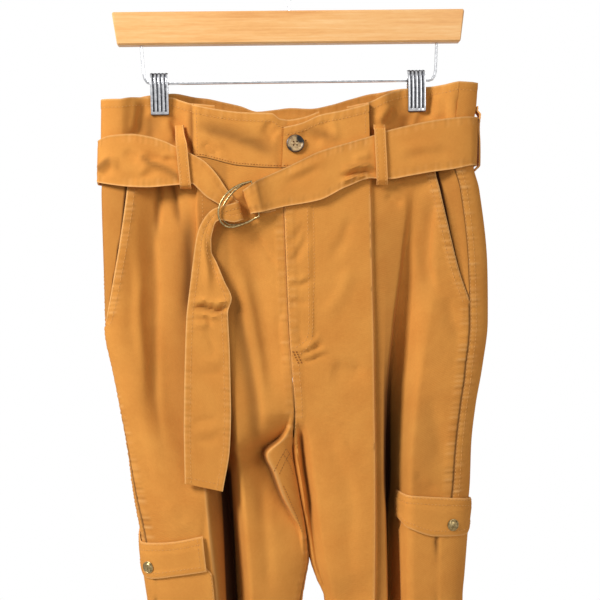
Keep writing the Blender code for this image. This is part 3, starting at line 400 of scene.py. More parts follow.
def outward(side, z, s, kind="folded"):
    """The way out of the cloth, taken over a short stretch so that pieces at a seam agree."""
    z, s = np.broadcast_arrays(np.asarray(z, float), np.asarray(s, float))
    ahead = skin(side, z, s + REACH_S, kind) - skin(side, z, s - REACH_S, kind)
    share = {}
    for dz in (-REACH_Z, REACH_Z):
        front, back = (
            half_girth(side, z + dz, face, kind) / half_girth(side, z, face, kind)
            for face in ("front", "back"))
        share[dz] = skin(side, z + dz, s * np.where(s > 0, front, back), kind)
    n = np.cross(ahead, share[-REACH_Z] - share[REACH_Z])
    n = n / np.maximum(np.linalg.norm(n, axis=-1, keepdims=True), 1e-9)
    return -n if side == "r" else n


def s_at_x(side, z, x, kind="folded", face="front"):
    """The place along the cloth that lies at x, for one height."""
    form = FORMS[side, kind]
    i, part = levels(form, np.asarray(float(z)))
    line = form[face][i, :, 0] * (1 - part) + form[face][i + 1, :, 0] * part
    length = float(half_girth(side, float(z), face, kind))
    order = slice(None) if side == "r" else slice(None, None, -1)
    s = np.interp(x, line[order], np.linspace(0, length, SHARES)[order])
    return s if face == "front" else -s


def spread(stops, counts):
    """Values from stop to stop, each stretch cut into its count."""
    out = [stops[0]]
    for a, b, n in zip(stops[:-1], stops[1:], counts):
        out.extend(a + (b - a) * (i + 1) / n for i in range(n))
    return out


print("skin of", {key: form["front"].shape for key, form in FORMS.items()})

# %% [markdown]
# Cloth shows small creases that no table of sections holds. Each is a drawn soft line: where it
# runs, how wide its two flanks are, and how far it stands out or sinks in. Seams are drawn in a little by
# their thread, which leaves short uneven puckers across them, like the rungs of a ladder.

# %% Creases and puckers
def crease_field(x, z, creases):
    """Height of drawn creases at x, z. A crease: left flank, right flank, height, then its points."""
    total = np.zeros_like(x)
    for left, right, height, *path in creases:
        path = np.array(path, float)
        best = np.full(x.shape, 1e9)
        signed, along = np.zeros_like(x), np.zeros_like(x)
        lengths = np.linalg.norm(np.diff(path, axis=0), axis=1)
        whole, done = lengths.sum(), 0.0
        for a, b, length in zip(path[:-1], path[1:], lengths):
            t = np.clip(((x - a[0]) * (b[0] - a[0]) + (z - a[1]) * (b[1] - a[1])) / length ** 2, 0, 1)
            dx, dz = x - a[0] - t * (b[0] - a[0]), z - a[1] - t * (b[1] - a[1])
            far = np.hypot(dx, dz)
            closer = far < best
            cross = (b[0] - a[0]) * dz - (b[1] - a[1]) * dx
            best = np.where(closer, far, best)
            signed = np.where(closer, np.sign(cross) * far, signed)
            along = np.where(closer, (done + t * length) / whole, along)
            done += length
        width = np.where(signed > 0, left, right)
        ends = ramp(-0.02, 0.28, along) * ramp(1.02, 0.72, along)
        total = total + height * ends * np.exp(-(signed / width) ** 2)
    return total


def wander(at, seed):
    """An uneven wave between -1 and 1, the same each run."""
    return (np.sin(at + seed) + 0.6 * np.sin(at * 0.61 + 2.1 * seed + 1.0)
            + 0.45 * np.sin(at * 1.73 + 0.7 * seed + 4.0)) / 2.05


def puckers(along, inside, reach, period, depth, seed):
    """Ladder puckers: along the seam, and how far inside it. reach is the band they cover."""
    rungs = wander(2 * math.pi * along / period, seed)
    rungs = rungs + 0.35 * wander(2 * math.pi * along / (period * 0.43), seed + 3)
    strength = 0.65 + 0.35 * wander(along / 17.0, seed + 9)
    band = ramp(-1.0, 0.12 * reach, inside) * (1 - ramp(0.72 * reach, 1.25 * reach, inside))
    return depth * rungs * strength * band


# %% [markdown]
# The trousers are garment-dyed cotton twill: matt and warm camel. Its colour is painted paler along folded
# edges, partly as wear and partly as painted highlight, and darker in folds, creases and seams as painted
# shade.
# Twill shows fine diagonal ridges. Real ones are 0.6 mm apart, too fine for a picture of the whole garment,
# so they are drawn at 1.7 mm and kept faint.

# %% One small function adds a node
def to_linear(code):
    """A colour given as sRGB hex, as linear numbers."""
    parts = [int(code[i:i + 2], 16) / 255 for i in (1, 3, 5)]
    return [p / 12.92 if p <= 0.04045 else ((p + 0.055) / 1.055) ** 2.4 for p in parts] + [1.0]


def add(tree, kind, links=None, **settings):
    """A node with its settings. links gives an input's number or name a value or another node's output."""
    node = tree.nodes.new("ShaderNode" + kind)
    for key, value in settings.items():
        setattr(node, key, value)
    for socket, value in (links or {}).items():
        if isinstance(value, bpy.types.NodeSocket):
            tree.links.new(value, node.inputs[socket])
        else:
            node.inputs[socket].default_value = value
    return node


def new_finish(name):
    finish = bpy.data.materials.new(name)
    finish.use_nodes = True
    tree = finish.node_tree
    return finish, tree, tree.nodes["Principled BSDF"]


def colour_ramp(tree, fac, stops):
    node = add(tree, "ValToRGB", {0: fac})
    ramp_data = node.color_ramp
    while len(ramp_data.elements) < len(stops):
        ramp_data.elements.new(0.5)
    for element, (at, code) in zip(ramp_data.elements, stops):
        element.position, element.color = at, to_linear(code)
    return node.outputs[0]


# %% Camel cotton twill
RIDGE_PITCH = 0.0017    # metres, drawn coarser than the real 0.6 mm


def twill_finish(name, deep, plain, pale):
    finish, tree, shader = new_finish(name)
    uv = add(tree, "UVMap", uv_map="cloth").outputs[0]
    turned = add(tree, "Mapping", {0: uv, 2: (0.0, 0.0, math.radians(62))}).outputs[0]
    ridge_scale = math.tau / (RIDGE_PITCH * 20)
    ridges = add(tree, "TexWave", {0: turned, 1: ridge_scale, 2: 1.2, 3: 2.0, 4: 1.5}).outputs[1]
    cloud = add(tree, "TexNoise", {0: uv, 2: 22.0, 3: 4.0, 4: 0.6}).outputs[0]
    fleck = add(tree, "TexNoise", {0: uv, 2: 380.0, 3: 3.0, 4: 0.6}).outputs[0]
    crumple = add(tree, "TexNoise", {0: uv, 2: 70.0, 3: 3.0, 4: 0.5}).outputs[0]
    tone = add(tree, "Math", {0: fleck, 1: 0.35, 2: cloud}, operation="MULTIPLY_ADD").outputs[0]
    body = colour_ramp(tree, tone, [(0.35, plain[0]), (0.95, plain[1])])
    # Two point values mix the colour: towards the pale colour for wear and painted highlight on edges,
    # towards the dark colour for painted shade in folds, creases and seams.
    worn = add(tree, "Attribute", attribute_name="worn").outputs[2]
    sunk = add(tree, "Attribute", attribute_name="sunk").outputs[2]
    wear_and_highlight_mix = add(tree, "Mix", {0: worn, 6: body, 7: to_linear(pale)}, data_type="RGBA").outputs[2]
    shaded = add(tree, "Mix", {0: sunk, 6: wear_and_highlight_mix, 7: to_linear(deep)}, data_type="RGBA").outputs[2]
    tree.links.new(shaded, shader.inputs["Base Color"])
    shader.inputs["Roughness"].default_value = 0.88
    shader.inputs["Specular IOR Level"].default_value = 0.2
    shader.inputs["Sheen Weight"].default_value = 0.06
    shader.inputs["Sheen Roughness"].default_value = 0.5
    shader.inputs["Sheen Tint"].default_value = to_linear("#F2C48A")
    height = add(tree, "Math", {0: ridges, 1: 0.12, 2: crumple}, operation="MULTIPLY_ADD").outputs[0]
    height = add(tree, "Math", {0: fleck, 1: 0.07, 2: height}, operation="MULTIPLY_ADD").outputs[0]
    bump = add(tree, "Bump", {0: 0.6, 1: 0.0008, "Height": height}).outputs[0]
    tree.links.new(bump, shader.inputs["Normal"])
    return finish


def thread_finish(name, colour):
    finish, _, shader = new_finish(name)
    shader.inputs["Base Color"].default_value = to_linear(colour)
    shader.inputs["Roughness"].default_value = 0.7
    shader.inputs["Specular IOR Level"].default_value = 0.3
    return finish


# The dark colour is painted shade. The pale colour is wear and painted highlight.
twill = twill_finish("garment_dyed_camel_twill", "#3E1C04", ("#CA8136", "#DA9544"), "#F0BB78")
thread = thread_finish("camel_sewing_thread", "#D99C53")
# Russet: thread on the bartacks and the buttonhole, painted seam shadow on the waist seam and the crotch
# crossing.
thread_and_painted_seam_shade = thread_finish("painted_seam_shade_and_thread_in_russet", "#A4662A")
print("finishes of the cloth and its threads:", twill.name, thread.name, thread_and_painted_seam_shade.name)

# %% [markdown]
# A piece of cloth is a wall around a grid of points: an outer face, an inner face and a rim between them,
# so it has a real edge and casts a real shadow. The grid's own two measures, along and across the cloth,
# become its UV map in metres, and the weave then follows every fold. Each point also has two values. One
# paints the colour paler at folded edges and on pucker tops, partly as wear and partly as painted highlight.
# The other paints it darker deep inside folds, creases and seams, as painted shade.

# %% One maker for every piece of cloth
SHEETS = {}
SHEET_THICK = 0.9


def run_lengths(points, axis):
    step = np.linalg.norm(np.diff(points, axis=axis), axis=2)
    zero = np.zeros_like(np.take(step, [0], axis=axis))
    return np.concatenate([zero, np.cumsum(step, axis=axis)], axis=axis)


def edge_distances(grid):
    """How far each point lies from the grid's left, right, top and foot, along the cloth."""
    return (run_lengths(grid, 1), run_lengths(grid[:, ::-1], 1)[:, ::-1],
            run_lengths(grid, 0), run_lengths(grid[::-1], 0)[::-1])


def grid_normals(grid, flip):
    n = np.cross(np.gradient(grid, axis=1), np.gradient(grid, axis=0))
    n = n / np.maximum(np.linalg.norm(n, axis=2, keepdims=True), 1e-9)
    return -n if flip else n


def make_mesh(name, points, faces, finish, sharp=50):
    mesh = bpy.data.meshes.new(name)
    mesh.from_pydata((np.asarray(points) * MM).tolist(), [], [list(map(int, f)) for f in faces])
    mesh.materials.append(finish)
    mesh.shade_smooth()
    mesh.set_sharp_from_angle(angle=math.radians(sharp))
    piece = bpy.data.objects.new(name, mesh)
    bpy.context.scene.collection.objects.link(piece)
    return piece


def quad_grid(rows, cols, start, turn):
    i, j = np.meshgrid(np.arange(rows - 1), np.arange(cols - 1), indexing="ij")
    a = (start + i * cols + j).ravel()
    quads = np.stack([a, a + 1, a + cols + 1, a + cols], axis=1)
    return quads[:, ::-1] if turn else quads


def cloth(node, grid, flip=False, out=None, thick=SHEET_THICK, relief=0.0, worn=0.0, sunk=0.0, uv=None):
    """A wall of twill round a grid of points, in place of the solid called node."""
    name = "cloth_" + node
    out = grid_normals(grid, flip) if out is None else out
    relief = np.broadcast_to(relief, grid.shape[:2])[..., None]
    middle = grid + out * relief
    outer, inner = middle + out * thick / 2, middle - out * thick / 2
    rows, cols = grid.shape[:2]
    points = np.concatenate([outer.reshape(-1, 3), inner.reshape(-1, 3)])
    half = rows * cols
    across, down = np.arange(cols - 1), np.arange(rows - 1) * cols
    edges = ((across + 1, across), (half - cols + across, half - cols + across + 1), (down, down + cols),
             (cols - 1 + down + cols, cols - 1 + down))
    rims = [np.stack([a, b, half + b, half + a], axis=1) for a, b in edges]
    rims = np.concatenate(rims)
    faces = np.concatenate([quad_grid(rows, cols, 0, flip), quad_grid(rows, cols, half, not flip),
                            rims[:, ::-1] if flip else rims])
    piece = make_mesh(name, points, faces, twill)
    if uv is None:
        u = run_lengths(grid, 1)
        uv = u - u[:, [cols // 2]], run_lengths(grid, 0)
    places = np.tile(np.stack([uv[0].ravel(), -uv[1].ravel()], axis=1) * MM, (2, 1))
    corners = np.zeros(len(piece.data.loops), np.int32)
    piece.data.loops.foreach_get("vertex_index", corners)
    layer = piece.data.uv_layers.new(name="cloth")
    layer.data.foreach_set("uv", places[corners].astype(np.float32).ravel())
    for label, value in (("worn", worn), ("sunk", sunk)):
        value = np.tile(np.clip(np.broadcast_to(value, grid.shape[:2]), 0, 1).ravel(), 2).astype(np.float32)
        piece.data.attributes.new(label, "FLOAT", "POINT").data.foreach_set("value", value)
    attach(piece, "root")
    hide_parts(node)
    cells = np.cross(np.diff(outer, axis=0)[:, :-1], np.diff(outer, axis=1)[:-1])
    cut = np.linalg.norm(cells, axis=2).sum() / 1e6
    SHEETS[name] = {"piece": piece, "outer": outer, "area": float(cut)}
    print(name, grid.shape[:2], "cloth area", round(float(cut), 4), "m2")
    return piece


# %% [markdown]
# Each leg has a front and a back panel. The side seam, the slant pocket's mouth, the inseam and the rise
# are their edges. A row of points runs round the leg at each height, held at the sharp lines of the pleats,
# so the fold's edge stays crisp while the cloth between stays soft.

# %% The leg panels' rows and columns
WAIST_SEAM = {
    "front": [(-195, -212), (-140, -212), (-96, -214), (-54, -224), (-11, -227), (20, -226), (75, -214),
              (140, -206), (198, -203)],
    "back": [(-195, -212), (-90, -214), (0, -217), (90, -210), (198, -203)],
}
FIRST_ROW, BEND_FOOT = -212, -300       # the rows between these two bend to the waist seam
FINE_FOOT = -700.0      # below this the rows are spaced wider
LEG_ROWS = np.concatenate([np.arange(FIRST_ROW, FINE_FOOT, -2.4), np.arange(FINE_FOOT, HEM_Z, -7.0), [HEM_Z]])
EDGE_STEPS = (0.8, 2.2)  # extra columns beside an edge


def along(pairs, x):
    return smooth_curve([p[0] for p in pairs], [p[1] for p in pairs], x)


def bent_rows(side, face, z, s):
    """The heights of a grid of places whose first row follows the waist seam."""
    x = skin(side, z, s)[..., 0]
    moved = along(WAIST_SEAM[face], x.ravel()).reshape(x.shape) - FIRST_ROW - WAIST_GAP
    return z + moved * ramp(BEND_FOOT, FIRST_ROW, z[:, :1])


def mouth_x(side, z):
    return float(smooth_curve([m[0] for m in MOUTH[side]], [m[1] for m in MOUTH[side]], z))


def front_edge(side, z):
    """The front panel's outer edge: the pocket's mouth, and below it the side seam."""
    seam = float(column(SIDE_SEAM, side, z))
    if z <= MOUTH_END[side]:
        return seam
    return float(s_at_x(side, z, mouth_x(side, z)))


def held_column(side, z):
    """A column 9 mm inside the mouth. Below the mouth's end it eases over to the side seam."""
    end = MOUTH_END[side]
    if z > end:
        return front_edge(side, z) + 9.0
    jump = float(s_at_x(side, end, mouth_x(side, end))) - float(column(SIDE_SEAM, side, end))
    return front_edge(side, z) + 9.0 + jump * float(ramp(end - 90.0, end, z))


def front_stops(side, z):
    seam = front_edge(side, z) + SEAM_GAP / 2
    last = float(half_girth(side, z, "front"))
    if z <= CROTCH_Z:
        last = last - float(column(INSEAM_AT, side, z)) - SEAM_GAP / 2
    if side == "l":
        edge, inner = float(column(PLEAT_L, "edge", z)), float(column(INNER_L, "valley", z))
        marks = [column(PLEAT_L, part, z) for part in ("lip", "bottom", "rim")]
        marks += [edge + 2.4, edge, inner + 9, inner]
    else:
        edge = float(column(PLEAT_R, "edge", z))
        marks = [edge - 2.4, edge, column(PLEAT_R, "bottom", z), column(PLEAT_R, "shoulder", z),
                 column(TONGUE, "valley", z), column(TONGUE, "ridge", z)]
    stops = [seam, seam + EDGE_STEPS[0], seam + EDGE_STEPS[1], max(held_column(side, z), seam + 3.5)]
    stops += [float(s_at_x(side, z, float(m))) for m in marks]
    stops += [last - EDGE_STEPS[1], last - EDGE_STEPS[0], last]
    for i in range(4, len(stops)):
        stops[i] = max(stops[i], stops[i - 1] + 0.7)
    for i in range(len(stops) - 2, 2, -1):
        stops[i] = min(stops[i], stops[i + 1] - 0.7)
    return stops


def back_stops(side, z):
    first = -float(half_girth(side, z, "back"))
    if z <= CROTCH_Z:
        first = first - float(column(INSEAM_AT, side, z)) + SEAM_GAP / 2
    last = float(column(SIDE_SEAM, side, z)) - SEAM_GAP / 2
    return [first, first + EDGE_STEPS[0], first + EDGE_STEPS[1], -90.0, -30.0, last - EDGE_STEPS[1],
            last - EDGE_STEPS[0], last]


def panel_places(side, face):
    """Heights and places along the cloth for a whole panel. The first rows bend to the waist seam."""
    stops_at = front_stops if face == "front" else back_stops
    stops = np.array([stops_at(side, z) for z in LEG_ROWS])
    spacing = 2.4 if face == "front" else 4.5
    counts = np.maximum(1, np.ceil(np.diff(stops, axis=1).max(axis=0) / spacing)).astype(int)
    s = np.array([spread(list(row), counts) for row in stops])
    z = np.repeat(LEG_ROWS[:, None], s.shape[1], axis=1)
    moved = bent_rows(side, face, z, s)
    return moved, s * half_girth(side, moved, face) / half_girth(side, z, face)


# %% Drawn creases
# left flank and right flank as one walks along the line, then its height, then the line as x, z
CREASES = drawn_lines("""
front_r
4 11 -3.4  -145 -249  -143 -297  -141 -347  -143 -406  -143 -455  -140 -485  -134 -517
4 22 -3.8  -118 -254  -111 -284  -106 -316  -104 -357  -105 -400  -105 -450  -104 -500
3 4 -3.6  -134 -214  -135 -243  -138 -289
3 4 -3.6  -126 -212  -122 -243  -115 -288
7 12 -4  -68 -308  -61 -358  -52 -410  -45 -458  -42 -498  -43 -538
5 4 1.6  -56 -321  -46 -369  -38 -421  -34 -468
2.5 4 -1.6  -44 -287  -33 -305  -17 -327
6 8 -2.2  -39 -528  -38 -578  -35 -618  -34 -658
5 9 -2  -167 -293  -164 -336  -166 -386  -160 -427
4 6 1.3  -155 -319  -158 -366  -154 -416  -152 -465
6 9 -1.8  -168 -455  -159 -495  -150 -534  -136 -560
6 8 1.2  -136 -555  -121 -580  -105 -576
3 5 -1.2  -13 -359  -19 -384  -17 -409  -13 -431
3 4 -1.1  -95 -556  -97 -596  -95 -635
front_l
1.6 2.4 -0.9  12 -454  28 -469  46 -482
1.8 2.6 1  14 -459  30 -474  45 -485
1.6 2.4 -0.9  44 -497  51 -510  67 -525
7 10 -1.8  22 -480  33 -510  47 -543  50 -581
2 2.6 1.5  -1 -410  8 -407  17 -401  23 -393
1.6 2.2 -1.3  -1 -413  9 -411  19 -406  27 -403
2 2.4 1.4  1 -417  11 -416  21 -411  32 -409
1.6 2.2 -1.3  -1 -421  9 -421  21 -416  31 -417
2.5 3.5 -1.4  -10 -343  3 -345  11 -341  18 -337
2.5 3.5 1.2  -9 -338  3 -340  13 -336
2.5 3.5 -1.2  -9 -363  1 -362  12 -363
3.5 5 -1.5  -8 -324  1 -316  10 -300  13 -286
4 6 -1.3  -9 -303  1 -296  10 -282
5 6 -1.3  34 -321  48 -301  57 -275
6 8 1.3  24 -378  43 -357  56 -323
4 5 -1.2  -2 -386  3 -398  5 -406
8 12 -2.2  31 -428  53 -433  67 -427
4 7 -3.2  143 -249  136 -289  132 -325  141 -363
6 6 2  118 -288  124 -324  124 -373  117 -435
6 8 -1.8  151 -359  158 -389  169 -410
5 5 1.6  177 -293  179 -326  180 -364
2 3 1.8  175 -479  171 -492  163 -506
3 4 -1.6  174 -486  169 -501  162 -514
8 9 -1.5  129 -455  138 -493  144 -534
5 7 -1.3  114 -533  123 -549  137 -552
8 10 -1.6  50 -561  45 -600  48 -641
5 6 -1.6  158 -243  162 -255  166 -263
4 6 -2.2  93 -254  103 -262  111 -264
waistband_front_r
5 3 1.8  -159 -152  -160 -170  -163 -190
6 4 -3.2  -150 -154  -154 -174  -156 -192
4 5 -2.2  -143 -168  -142 -180  -141 -196
4 6 2.2  -129 -173  -125 -183  -119 -201
5 4 -2.8  -123 -169  -117 -185  -112 -203
3 3 1  -107 -165  -106 -183  -103 -205
10 6 -1.5  -108 -184  -66 -191  -42 -200  -8 -218
4 4 1.2  -93 -187  -79 -197  -68 -208
5 6 -1.6  -90 -199  -82 -209  -72 -211
5 6 -2.6  -27 -180  -22 -188  -15 -194
3 4 -1.6  -31 -186  -23 -195  -17 -201
2 3 0.8  -61 -200  -47 -196  -31 -197
waistband_front_l
5 6 -2.4  6 -192  17 -198  31 -202
3 3 1  39 -173  43 -187  45 -201
4 5 -1.2  30 -179  35 -189  36 -201
4 4 -2.6  108 -164  101 -174  92 -186
4 5 2  101 -162  94 -172  86 -182
4 5 -2.2  120 -172  117 -184  114 -196
3 4 1.5  130 -168  125 -180  123 -192
5 6 -2.6  142 -148  140 -160  137 -180
5 5 2  150 -150  151 -164  151 -179
6 6 -2.6  174 -157  173 -167  171 -179
waistband_back
6 8 -1.5  -30 -169  -23 -175  -18 -180
6 6 1  -53 -165  -49 -171
belt
5 6 -3.2  -195 -227  -188 -219  -180 -213
3 4 2.6  -192 -235  -186 -225  -179 -219
2.5 3.5 -2.6  -181 -211  -178 -219  -177 -227
5 5 2.2  -168 -207  -161 -213  -154 -218
3 3 -2.8  -154 -210  -148 -216  -142 -221  -133 -223
3.5 4 2.4  -147 -208  -140 -215  -129 -217  -117 -216
3 3 -2.2  -135 -216  -125 -213  -115 -215
4 3 -3  -141 -221  -129 -226  -118 -233  -113 -240
4 4 1.8  -173 -233  -158 -235  -143 -231  -133 -228
3 3 -1.5  -157 -235  -149 -227  -146 -218
4 4 -2  58 -221  68 -218  79 -215
3.4 3.4 -4  46 -232  60 -229  72 -227  84 -231
3 3 3.6  45 -238  60 -234  72 -232  84 -236
3 2.6 -3.2  44 -245  58 -239  70 -237  84 -241
4 5 -1.2  -8 -236  12 -228  36 -219
4 5 1.2  -12 -244  6 -238  28 -226
5 5 -1.1  103 -212  127 -208  153 -206
4 4 0.9  107 -220  131 -216  163 -215
3 3 -1.6  86 -211  88 -219  90 -227
3 4 2  -92 -290  -89 -320  -87 -352
3 4 -1.8  -87 -294  -82 -320  -78 -346
2.4 2.6 3.2  -106 -361  -91 -358  -81 -362  -66 -358
2.4 2.6 -3.4  -108 -365  -91 -365  -79 -369  -64 -363
2.2 2.2 2  -108 -371  -96 -372  -84 -375  -70 -370
2.5 3 2  -103 -379  -95 -383  -87 -380
2.5 3 -1.6  -92 -372  -87 -379  -89 -385
3 4 -1  -91 -387  -84 -403  -82 -414
3 4 1  -98 -417  -86 -419  -74 -416
3 4 -0.9  -102 -429  -88 -431  -72 -428
3 4 -1  -107 -477  -94 -476  -79 -474
3 4 0.9  -105 -485  -92 -487  -78 -483
3 4 -0.9  -106 -494  -94 -497  -80 -494
back_r
14 9 -3  -60 -320  -66 -420  -74 -500  -88 -560
10 14 -3  -150 -300  -140 -400  -132 -500
7 7 2  -36 -470  -60 -520  -92 -545
6 8 -2  -30 -500  -58 -548  -96 -570
9 9 2  -112 -650  -96 -760  -100 -900
9 9 -2  -84 -700  -70 -820  -76 -980
back_l
9 14 -3  60 -320  66 -420  76 -500  90 -560
14 10 -3  152 -300  144 -400  134 -500
7 7 2  34 -470  62 -524  96 -548
8 6 -2  32 -504  60 -552  98 -576
9 9 2  118 -650  104 -760  106 -900
9 9 -2  92 -700  80 -820  84 -980
""")

# Painted shade: lines where the colour is painted darker along deep folds and gathers, in place of their
# shadow. Drawn like creases, with how dark the line is in place of its height.
PAINTED_SHADE_LINES = drawn_lines("""
front_r
8 24 0.27  -112 -245  -110 -330  -110 -430  -110 -540
5 7 0.5  -106 -262  -106 -318  -108 -350  -110 -384
3 5 0.22  -145 -236  -142 -347  -143 -455  -136 -520
2.5 3 0.45  -135 -215  -136 -243  -138 -268  -141 -300
3 3 0.45  -125 -215  -122 -243  -119 -266  -115 -288
12 10 0.12  -38 -230  -45 -300  -44 -360  -40 -470
front_l
12 22 0.16  128 -430  124 -540  120 -700
14 10 0.16  140 -235  130 -300  120 -380
waistband_front_r
9 6 0.46  -102 -182  -66 -192  -42 -201  -12 -216
7 9 0.35  -138 -166  -143 -186  -147 -210
0.8 3 0.55  -100.5 -150  -100.5 -185  -100.5 -228
waistband_front_l
4 5 0.3  8 -184  22 -190  36 -196  50 -200
3 0.8 0.55  79 -152  78.5 -178  78 -206
8 6 0.25  122 -160  118 -180  112 -205
8 6 0.25  168 -146  171 -164  172 -190
belt
2.2 0.7 0.6  -40.5 -234  -37 -253  -33 -276
2 2.6 0.3  46 -228  60 -227  72 -225  82 -230
1.6 2.2 0.3  50 -241  60 -236  72 -234  82 -238
2 3 0.4  -154 -210  -148 -216  -142 -221  -133 -223
3 3 0.4  -141 -221  -129 -226  -118 -233  -113 -240
3 3 0.5  -197 -227  -188 -219  -180 -213
2 3 0.4  -103 -365  -91 -365  -79 -369  -69 -363
""")

print("creases", {name: len(lines) for name, lines in CREASES.items()})

# Each deep front valley, as x at z: where the shade starts, where it turns black, where it ends, how black
# the black is and how deep the shade is.
VALLEY_SHADE = {
    "r": columns("""
z     -520 -546 -600 -654 -720 -900 -1168
start -97 -95 -92 -88 -85 -84 -84
dark  -83 -80.5 -78.5 -77.5 -76 -76 -76
end   -70 -69.5 -68 -66.5 -63 -62 -62
black 0 1 1 1 0.8 0.2 0
shade 0.24 0.34 0.34 0.32 0.26 0.1 0
"""),
    "l": columns("""
z     -262 -300 -400 -463 -545 -590 -628 -700 -1168
start 78.5 78 77.5 76.5 75.5 75 74.5 72 68
dark  96 92 88 85 83 85.5 86.5 87 87
end   112 108 100 96 94 91 90 90 90
black 0 0 0.12 0.62 0.8 0.55 0 0 0
shade 0.06 0.2 0.24 0.28 0.3 0.3 0.26 0.2 0.05
"""),
}


def valley_shade(side, x, z):
    start, dark, end, black, shade = (
        column(VALLEY_SHADE[side], part, z) for part in ("start", "dark", "end", "black", "shade"))
    return (0.97 * black * ramp(dark - 1.6, dark + 0.8, x) * ramp(end + 1.4, end - 0.8, x)
            + shade * ramp(start - 0.8, start + 0.8, x) * ramp(end + 6.0, end, x))


def pleat_edge(side, z):
    return column(PLEAT_L if side == "l" else PLEAT_R, "edge", z)


# %% The leg panels
def leg_panel(side, face):
    name = face + "_" + side
    z, s = panel_places(side, face)
    place, out = skin(side, z, s), outward(side, z, s)
    x = place[..., 0]
    from_first, to_last = s - s[:, [0]], s[:, [-1]] - s
    relief = crease_field(x, z, CREASES[name])
    sunk = np.zeros_like(x)
    outside, inside = (from_first, to_last) if face == "front" else (to_last, from_first)
    mouth = ramp(MOUTH_END[side] - 4, MOUTH_END[side] + 4, z) if face == "front" else 0.0 * z
    # Paler along the panel's edges, most at the pocket mouth: wear and painted highlight.
    worn = (0.15 + 0.45 * mouth) * ramp(1.6, 0.3, outside) + 0.25 * ramp(1.4, 0.3, inside)
    if face == "front":
        # Painted shade in the deep front valleys, and below a painted highlight along the pleat's folded
        # edge.
        sunk = valley_shade(side, x, z)
        folded = ramp(-430, -560, z) if side == "r" else ramp(-250, -262, z)
        worn = worn + 0.3 * folded * bell(x, pleat_edge(side, z), 1.3)
    # Painted shade in the deepest creases, along the drawn shade lines and as a thin line at the seams.
    sunk = sunk + 0.55 * ramp(-1.5, -5.0, crease_field(x, z, [c for c in CREASES[name] if c[2] < -3.9]))
    seams = ramp(1.3, 0.5, outside) * (1 - mouth) + ramp(1.3, 0.5, inside) * ramp(-430, -500, z)
    sunk = sunk + crease_field(x, z, PAINTED_SHADE_LINES.get(name, [])) + 0.6 * seams
    if name == "front_r":
        # Painted shadow outside the hanging tongue and down its wall, and a painted highlight on its ridge.
        valley, ridge = column(TONGUE, "valley", z), column(TONGUE, "ridge", z)
        hung = ramp(6, 20, column(TONGUE, "depth", z))
        outside_tongue = np.exp(-(np.clip(valley - x, 0, None) / 2.4) ** 1.3)
        sunk = sunk + 0.62 * hung * np.where(x < valley, outside_tongue, ramp(ridge - 0.6, ridge - 2.6, x))
        worn = worn + 0.5 * hung * bell(x, ridge + 0.6, 1.2)
    if name == "front_l":
        # Painted shade down the inner valley.
        valley = column(INNER_L, "valley", z)
        open_fold = ramp(4, 13, column(INNER_L, "depth", z))
        sunk = sunk + 0.75 * open_fold * bell(x, valley + 0.6, 1.0 + open_fold)
    seed = {"front_r": 1.0, "front_l": 5.0, "back_r": 9.0, "back_l": 13.0}[name]
    ladder = puckers(z, outside, 10.0, 5.2, 0.62, seed) + puckers(z, inside, 9.0, 8.5, 0.3, seed + 2)
    relief = relief + ladder
    # The puckers' tops are painted paler as highlight and their troughs darker as painted shade.
    worn = worn + 0.8 * np.clip(ladder, 0, None)
    sunk = sunk + 0.55 * np.clip(-ladder, 0, None)
    for far in (outside, inside):
        turned_in = 0.45 * ramp(0.2, 1.6, far) * (1 - ramp(7, 12, far))
        relief = relief + turned_in - 0.35 * (1 - ramp(0.0, 1.4, far))
    hem = ramp(HEM_Z + 25, HEM_Z + 21, z)
    relief = relief + 0.8 * hem - 0.5 * bell(z, HEM_Z + 22.5, 1.4)
    relief = relief + puckers(s, z - HEM_Z, 22.0, 9.0, 0.3, seed + 4)
    return cloth(name, place, side == "r", out, SHEET_THICK, relief, worn, sunk)


# %% [markdown]
# The paperbag top is a tall band, folded into standing pleats and sewn down along the waist seam. A cloth
# simulation could drape it, but its pleats wouldn't fall where the maker pressed them. Here a typed row
# gives each fold: its x, how far it lies behind the face of the band, and the height of its top.

# %% The waistband
BAND_FRONT_R = rows("""
-172 0 -154 | -160 0 -151.5 | -146 0 -151 | -131 0 -151 | -121 0.5 -151.5 | -112 2 -155 | -101 5.2 -159
-89 5.2 -161 | -78 5.2 -162 | -78 2.6 -162 | -99 2.6 -160 | -100 0 -161 | -89 0 -164 | -77 0 -166.5
-53 0 -170 | -36 0 -171 | -21 0 -171.5 | -13 1.6 -177 | -4 3.4 -178 | 10 3.4 -176 | 27 3.4 -170
""")
BAND_FRONT_L = rows("""
158 0 -143 | 145 0 -144 | 131 0 -144.5 | 119 0 -145.5 | 105 0.5 -149 | 96 2 -152.5 | 87 4.4 -157
77 5.2 -161 | 66 5.2 -163 | 56 5.2 -165 | 56 2.6 -165 | 76 2.6 -162 | 77 0 -163 | 64 0 -166.5
49 0 -170 | 28 0 -174 | 9 0 -182 | -9 0 -186
""")
BAND_BACK = rows("""
-170 0 -152 | -155 0 -150 | -143 0 -148.5 | -131 0 -147.5 | -119 0 -147 | -104 0.8 -148 | -89 0 -149
-70 0 -153 | -52 0 -157.3 | -34 0 -163.2 | -17 0 -161.7 | 0 0 -160 | 21 0 -161 | 42 0 -157.5
63 0 -151.8 | 88 0 -146.3 | 104 0.8 -145.5 | 119 0 -145 | 131 0 -144.5 | 143 0 -143.7 | 155 0 -143.7
170 0 -142.7
""")
BAND_THICK, BAND_STEP = 1.3, 2.2
BAND_SIDE = {"r": (-153.0, -212.0), "l": (-140.5, -203.0)}      # top and foot of its side seams


